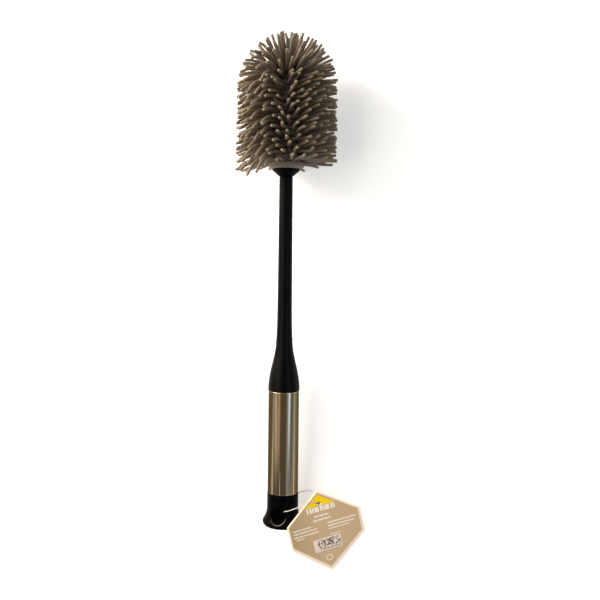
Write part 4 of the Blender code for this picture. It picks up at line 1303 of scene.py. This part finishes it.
# %% The tag's axes
TAG_HALF_WIDTH, TAG_SIDE = 28.7 * MM, 20.2 * MM
TAG_TOP_RISE, TAG_BOTTOM_RISE = 23.0 * MM, 25.3 * MM
TAG_TOP_SHIFT, TAG_BOTTOM_SHIFT = -1.15 * MM, -2.1 * MM  # the cut isn't quite even
CARD = 0.45 * MM
LEAF_SLIP, BACK_LEAF_SCALE = np.array([0.2, -0.9]) * MM, 1.05  # the back leaf against the front
TAG_TILT, TAG_TURN, TAG_SPIN = np.radians([31.14, 31.8, 44.7])
TAG_ALONG, TAG_BOW = 19.7 * MM, 0.4 * MM
TAG_HOLE_INSET, TAG_HOLE_RADIUS = 10.3 * MM, 1.8 * MM
TAG_HOLE = np.array([TAG_TOP_SHIFT, TAG_SIDE / 2 + TAG_TOP_RISE - TAG_HOLE_INSET])
TAG_CORNERS = np.array([
    (TAG_TOP_SHIFT, TAG_SIDE / 2 + TAG_TOP_RISE),
    (-TAG_HALF_WIDTH, TAG_SIDE / 2),
    (-TAG_HALF_WIDTH, -TAG_SIDE / 2),
    (TAG_BOTTOM_SHIFT, -TAG_SIDE / 2 - TAG_BOTTOM_RISE),
    (TAG_HALF_WIDTH, -TAG_SIDE / 2),
    (TAG_HALF_WIDTH, TAG_SIDE / 2),
])
BACK_CORNERS = TAG_CORNERS * BACK_LEAF_SCALE + LEAF_SLIP

downhill = np.array([np.cos(TAG_TURN), -np.sin(TAG_TURN), 0.0])
level_way = np.array([np.sin(TAG_TURN), np.cos(TAG_TURN), 0.0])
fall = downhill * np.cos(TAG_TILT) - upright * np.sin(TAG_TILT)
tag_normal = downhill * np.sin(TAG_TILT) + upright * np.cos(TAG_TILT)
tag_upward = level_way * np.cos(TAG_SPIN) - fall * np.sin(TAG_SPIN)
tag_across = np.cross(tag_upward, tag_normal)
TAG_AXES = np.stack([tag_across, tag_upward, tag_normal])

lip_centre = on_brush([0.0, 0.0, LIP_ROUND]) - TABLE_FOOT
lip_lean = np.linalg.norm((BRUSH_AXES @ tag_normal)[:2])
tag_height = tag_normal @ lip_centre + (LIP_RADIUS - LIP_ROUND) * lip_lean + LIP_ROUND + GAP
tag_base = tag_normal * tag_height + level_way * TAG_ALONG
lowest_corner = (BACK_CORNERS @ TAG_AXES[:2])[:, 2].min()
tag_drop = (tag_base[2] + lowest_corner - GAP) / np.sin(TAG_TILT)
TAG_ORIGIN = TABLE_FOOT + tag_base + fall * tag_drop


def on_tag(points):
    """A point's three tag coordinates times the tag's axes. The card bows a little: it lifts
    by the square of the way across, as a share of half the width."""
    points = np.array(points, float)
    points[..., 2] += TAG_BOW * (points[..., 0] / TAG_HALF_WIDTH) ** 2
    return TAG_ORIGIN + points @ TAG_AXES


print("the tag's top corner is at", np.round(on_tag([*TAG_CORNERS[0], 0.0]), 4))

# %% [markdown]
# ## Cut card
#
# A leaf of the tag is a thin plate with a hole. Its outline is drawn once, with small round
# corners. Each point of the outline has a partner on the hole's edge, and the grid runs
# between them over the front, round the edge and back underneath. Every point also keeps
# its place on the card as a mark, so that the print can be laid out in millimetres.

# %% A leaf of card
CORNER_SIZE = 1.6 * MM
CARD_EDGE = 0.3   # rounding of a cut edge, as a share of the thickness
PLATE_SHARES = np.linspace(0, 1, 15)


def outline_of(corners, size, steps=6, along=9):
    """The corners' parabolas, with points spaced along the straight sides between them."""
    cut = rounded([(*corner, size) for corner in corners], steps).reshape(len(corners), steps, 2)
    t = np.linspace(0, 1, along + 2)[None, 1:-1, None]
    straight = cut[:, -1:] * (1 - t) + np.roll(cut, -1, axis=0)[:, :1] * t
    return np.concatenate([cut, straight], axis=1).reshape(-1, 2)


def plate(outline, middle, hole_radius, bottom, thickness):
    """Rows go from the hole out over the top, down the edge, and back in underneath. The
    edge is rounded by drawing its middle row out."""
    edge_round = thickness * CARD_EDGE
    inner = middle + hole_radius * unit(outline - middle)
    t = PLATE_SHARES[:, None, None]
    face = inner[None] * (1 - t) + (outline - edge_round * unit(outline - middle))[None] * t
    rows = np.concatenate([face, outline[None], outline[None], face[::-1]])
    top = bottom + thickness
    edges = [top - edge_round, bottom + edge_round]
    levels = np.concatenate([np.full(len(face), top), edges, np.full(len(face), bottom)])
    levels = levels[:, None, None] * np.ones((1, len(outline), 1))
    return np.concatenate([rows, levels], axis=-1)


def make_leaf(name, corners, bottom, finish, node):
    """A leaf of card with the marks card, its place in millimetres, and front, which is 1 on
    its upper side."""
    grid = plate(outline_of(corners, CORNER_SIZE), TAG_HOLE, TAG_HOLE_RADIUS, bottom, CARD)
    front = (grid[..., 2] > bottom + CARD / 2).astype(float)
    marks = {"card": (grid / MM).reshape(-1, 3), "front": front.ravel()}
    leaf = make_piece(name, on_tag(grid), grid_faces(*grid.shape[:2], loop=True)[:, ::-1], marks)
    return settle(leaf, "tag", "tag_card", finish, node)


# %% [markdown]
# ## The print
#
# The front leaf is pale card, printed kraft-brown with a yellow band at the top. On the brown are a ring and
# rows of short pale bars, plain shapes that mean nothing. The print was cut a little out of place, so the
# pale border is wider on some edges than on others. The brown is painted darker towards the left and paler
# towards the right, as painted shade and light. Each area is a mask, worked out from the place on the card
# in millimetres, and each mask is a sum or product of comparisons that are 0 or 1. The border's mask needs
# the distance to each of the six edges: the least of them, each less its own border, is above 0 on the
# print.

# %% The print's colours and measures
CREAM = (0.94, 0.77, 0.62)
FIBRES_DARKER = 0.95      # the cream between the fibres, as a share of it on them
KRAFT_DARK, KRAFT_PALE = (0.43, 0.30, 0.155), (0.60, 0.42, 0.24)
PRINT_WHITE = (0.96, 0.86, 0.72)
YELLOW = (0.98, 0.65, 0.001)
# The brown is painted darker on the left and paler on the right, as painted shade and light.
PAINTED_LIGHT_SHARE, FIBRE_SHARE = 0.8, 0.2   # what makes the brown uneven: its fading and the fibres
PRINT_COVER = 0.9                    # the pale bars let a little of the brown through
# What follows is in millimetres on the card.
BORDERS = (0.15, 0.15, 1.3, 1.3, 0.9, 0.4)  # edge by edge, from the top round by the left
YELLOW_INSET, YELLOW_FOOT = 1.5, 21.3
KRAFT_FROM, KRAFT_FADE = -30.0, 24.0        # dark at the first, and pale after the second
FAR_INSIDE = 100.0                          # more than any distance to an edge
FIBRE_SCALE, FLECK_SCALE = 1.7, 9.0
PRINTED_ROWS = [      # left end, right end, height on the card, half thickness, bar pitch
    (-12.2, 10.6, 18.6, 2.2, 2.85),
    (-7.0, 4.7, 12.6, 0.75, 1.5),
    (-8.5, 5.8, 9.2, 0.75, 1.5),
    (-26.3, -10.9, 5.0, 0.6, 1.2),
    (-26.3, -6.9, 2.25, 0.6, 1.25),
    (-26.3, -6.0, -0.7, 0.6, 1.15),
    (-24.5, -18.5, -3.1, 0.6, 1.2),
    (2.1, 25.4, 4.8, 0.6, 1.2),
    (2.1, 23.0, 1.9, 0.6, 1.15),
    (2.0, 19.0, -0.7, 0.5, 1.2),
    (2.4, 10.7, -5.65, 0.4, 1.1),
]
BAR_WAVE, BAR_SHIFT = 2.1, 3.0      # the slow sine's pace, and its shift from row to row
BAR_UNEVEN, BAR_GAP = 0.3, 0.26     # what it adds, and the gap, both as shares of the pitch
RING_MIDDLE, RING_RADIUS, RING_LINE = (-1.9, -25.6, 0.7), 2.4, 0.28

# %% Boxes and rows of bars
def in_box(x, y, centre, half):
    """1 where a point is within half the width and half the height of the centre."""
    return (abs(x - centre[0]) < half[0]) * (abs(y - centre[1]) < half[1])


def printed_row(finish, x, y, left, right, level, half, pitch):
    """A row of short bars: the fraction of x over the pitch is above the gap's share, and a
    slow sine makes some bars wider than others."""
    uneven = finish.math("SINE", x * (BAR_WAVE / pitch) + level * BAR_SHIFT) * BAR_UNEVEN
    bar = finish.math("FRACT", x / pitch + uneven) > BAR_GAP
    return in_box(x, y, ((left + right) / 2, level), ((right - left) / 2, half)) * bar


# %% The card's finish
def card_finish(name):
    """Pale card with short fibres, and the print on the side marked as the front."""
    finish = Finish(name, roughness=0.78, specular_ior_level=0.25)
    place = finish.mark("card", "Vector")
    x, y, _ = finish.parts(place)
    fibres = finish.noise(place, FIBRE_SCALE, 6.0)
    flecks = finish.noise(place, FLECK_SCALE, 2.0)
    corners = TAG_CORNERS / MM
    inward = FAR_INSIDE
    for start, end, border in zip(corners, np.roll(corners, -1, axis=0), BORDERS):
        across, up = unit(end - start)
        to_the_edge = (y - start[1]) * across - (x - start[0]) * up - border
        inward = finish.math("MINIMUM", to_the_edge, inward)
    inside = inward > 0
    band = (inward > YELLOW_INSET) * (y > YELLOW_FOOT)
    to_ring = {0: place, 1: RING_MIDDLE}
    length = finish.node("ShaderNodeVectorMath", {"operation": "DISTANCE"}, to_ring, "Value")
    pale = abs(length - RING_RADIUS) < RING_LINE
    for row_of_bars in PRINTED_ROWS:
        pale = pale + printed_row(finish, x, y, *row_of_bars)
    # Painted shade and light across the brown: dark on the left, pale on the right.
    painted_light_share = finish.clamp((x - KRAFT_FROM) / KRAFT_FADE)
    bare = finish.mix(painted_light_share * PAINTED_LIGHT_SHARE + fibres * FIBRE_SHARE, KRAFT_DARK, KRAFT_PALE)
    printed = finish.mix(band, bare, YELLOW)
    printed = finish.mix(finish.clamp(pale) * PRINT_COVER, printed, PRINT_WHITE)
    cream = finish.mix(fibres, [c * FIBRES_DARKER for c in CREAM], CREAM)
    shown = finish.mix(inside * finish.mark("front"), cream, printed)
    finish.paint(
        base_color=shown,
        normal=finish.bump(fibres * 0.6 + flecks * 0.4, 0.05 * MM),
    )
    return finish.material


# %% The front leaf
printed_card = card_finish("printed_card")
front_leaf = make_leaf("tag_front_leaf", TAG_CORNERS, CARD + GAP, printed_card, "tag_front")

# %% [markdown]
# ## The back leaf
#
# The rear leaf is cut a little larger and has slipped down, so its pale side peeks out all along the lower
# edges. It is the same card without print. A faint warm glow brightens it, as painted light.

# %% The back leaf
BACK_LEAF_GLOW, BACK_LEAF_GLOW_STRENGTH = (0.94, 0.68, 0.47, 1.0), 0.17
BARE_DARKER, BARE_PALER = 0.90, 1.02   # shares of the cream


def bare_card():
    """Pale card with short fibres, which glows a little as painted light."""
    finish = Finish("bare_card", roughness=0.8, specular_ior_level=0.25)
    fibres = finish.noise(finish.mark("card", "Vector"), FIBRE_SCALE, 6.0)
    finish.paint(
        base_color=finish.mix(
            fibres, [c * BARE_DARKER for c in CREAM], [c * BARE_PALER for c in CREAM]
        ),
        emission_color=BACK_LEAF_GLOW,
        emission_strength=BACK_LEAF_GLOW_STRENGTH,
        normal=finish.bump(fibres, 0.05 * MM),
    )
    return finish.material


back_leaf = make_leaf("tag_back_leaf", BACK_CORNERS, 0.0, bare_card(), "tag_back")

# %% [markdown]
# ## The sticker
#
# A paper sticker is stuck on a little askew. Dark cells fill most of it and mean nothing: a
# white-noise node gives each small rectangle a number of its own, and about half are inked.

# %% The sticker's colours and measures
LABEL_HALF = np.array([11.35, 5.5]) * MM
LABEL_CENTRE = np.array([-0.8, -12.8]) * MM
LABEL_TURN = np.radians(0.8)
LABEL_THICKNESS, LABEL_SUNK = 0.2 * MM, 0.25 * MM
PAPER, INK = (0.84, 0.67, 0.55), (0.05, 0.045, 0.045)
CELL_WIDTH, CELL_HEIGHT, CELL_SHIFT, CELL_BARE = 0.8, 1.3, 0.3, 0.45  # the last is a share
CELLS_CENTRE, CELLS_HALF = (1.2, 0.9), (9.4, 3.5)
LABEL_ROW = (-6.6, 10.2, -3.9, 0.6, 1.1)    # the same five numbers as on the card
INK_LEAST, INK_UNEVEN = 0.75, 0.2           # how much the ink covers, and what the paper adds
LABEL_CORNER = 0.8 * MM

# %% The sticker's finish
def label_finish():
    """Paper, with cells inked by chance and one row of bars below them."""
    finish = Finish("label_paper", roughness=0.6, specular_ior_level=0.3)
    place = finish.mark("card", "Vector")
    x, y, _ = finish.parts(place)
    paper = finish.noise(place, 2.5, 4.0)
    column = finish.math("FLOOR", x / CELL_WIDTH)
    level = finish.math("FLOOR", y / CELL_HEIGHT + CELL_SHIFT)
    cell = finish.node("ShaderNodeCombineXYZ", None, {"X": column, "Y": level}, "Vector")
    chance = finish.node("ShaderNodeTexWhiteNoise", {"noise_dimensions": "2D"}, {"Vector": cell})
    inked = (chance > CELL_BARE) * in_box(x, y, CELLS_CENTRE, CELLS_HALF)
    inked = inked + printed_row(finish, x, y, *LABEL_ROW)
    ink = finish.clamp(inked) * (INK_LEAST + paper * INK_UNEVEN)
    finish.paint(
        base_color=finish.mix(ink, PAPER, INK),
        normal=finish.bump(paper, 0.02 * MM),
    )
    return finish.material


# %% The sticker's place
label_corners = LABEL_HALF * np.array([(-1, 1), (-1, -1), (1, -1), (1, 1)])
label_flat = plate(outline_of(label_corners, LABEL_CORNER), np.zeros(2), 0.0, 0.0, LABEL_THICKNESS)
turn_label = np.array([
    [np.cos(LABEL_TURN), np.sin(LABEL_TURN), 0.0],
    [-np.sin(LABEL_TURN), np.cos(LABEL_TURN), 0.0],
    [0.0, 0.0, 1.0],
])
label_place = label_flat @ turn_label + [*LABEL_CENTRE, 2 * (CARD + GAP) - LABEL_SUNK]
label_faces = grid_faces(*label_flat.shape[:2])[:, ::-1]
label_marks = {"card": (label_flat / MM).reshape(-1, 3)}
label = make_piece("price_sticker", on_tag(label_place), label_faces, label_marks)
settle(label, "tag", "label_paper", label_finish(), "price_label")

# %% [markdown]

# %% [markdown]
# ## The table and the light
#
# The table is plain and pale, and glows faintly, so that it is an even white with no more
# than a soft shadow. The light in the picture comes from the left. A large soft lamp stands
# high on that side, a smaller and warmer one low behind it lights the bristles' edges, and a
# weak cool one fills from the right. Large lamps give broad highlights along the plastic and
# the steel, and soft shadows.

# %% The table
TABLE_SIZE, TABLE_GLOW = 4.0, 0.46
TABLE_SHADED, TABLE_PALE = (0.60, 0.60, 0.595), (0.62, 0.62, 0.615)
GLOW_COLOUR = (1.0, 0.99, 0.97, 1.0)
table_place = TABLE_SIZE / 2 * np.array([(-1, -1, 0.0), (1, -1, 0.0), (1, 1, 0.0), (-1, 1, 0.0)])
pale = Finish("pale_table", roughness=0.9, specular_ior_level=0.2)
table_grain = pale.noise(pale.lying_place(), 40.0)
pale.paint(
    base_color=pale.mix(table_grain, TABLE_SHADED, TABLE_PALE),
    emission_color=GLOW_COLOUR,
    emission_strength=TABLE_GLOW,
)
table = make_piece("table", table_place, np.array([[0, 1, 2, 3]]))
table.data.materials.append(pale.material)

# %% The lamps
MIDDLE = np.array([0.0, 0.02, 0.03])
LAMPS = [  # name, place, size, power and colour
    ("side_lamp", (-0.78, 0.46, 0.40), (0.45, 0.45), 19.0, (1.0, 0.88, 0.76)),
    ("upper_lamp", (-0.62, 0.10, 1.05), (0.85, 1.5), 14.0, (1.0, 0.95, 0.89)),
    ("fill_lamp", (0.92, -0.2, 0.68), (0.5, 1.3), 4.5, (0.88, 0.94, 1.0)),
]
ROOM_COLOUR, ROOM_STRENGTH = (1.0, 0.98, 0.95, 1.0), 0.31


def add_lamp(name, place, size, power, colour):
    """A rectangular lamp that faces the middle of the brush."""
    data = bpy.data.lights.new(name, "AREA")
    data.shape = "RECTANGLE"
    data.size, data.size_y = size
    data.energy = power
    data.color = colour
    lamp = bpy.data.objects.new(name, data)
    bpy.context.scene.collection.objects.link(lamp)
    back = unit(np.array(place) - MIDDLE)
    side = unit(np.cross(AXIS_UP, back))
    turn = np.stack([side, np.cross(back, side), back], axis=1)
    lamp.matrix_world = Matrix.Translation(place) @ Matrix(turn.tolist()).to_4x4()


for lamp_row in LAMPS:
    add_lamp(*lamp_row)


# %% The room
world = bpy.data.worlds.new("soft_room")
world.use_nodes = True
room = world.node_tree.nodes["Background"].inputs
room["Color"].default_value = ROOM_COLOUR
room["Strength"].default_value = ROOM_STRENGTH
bpy.context.scene.world = world
bpy.context.scene.view_settings.view_transform = "Standard"
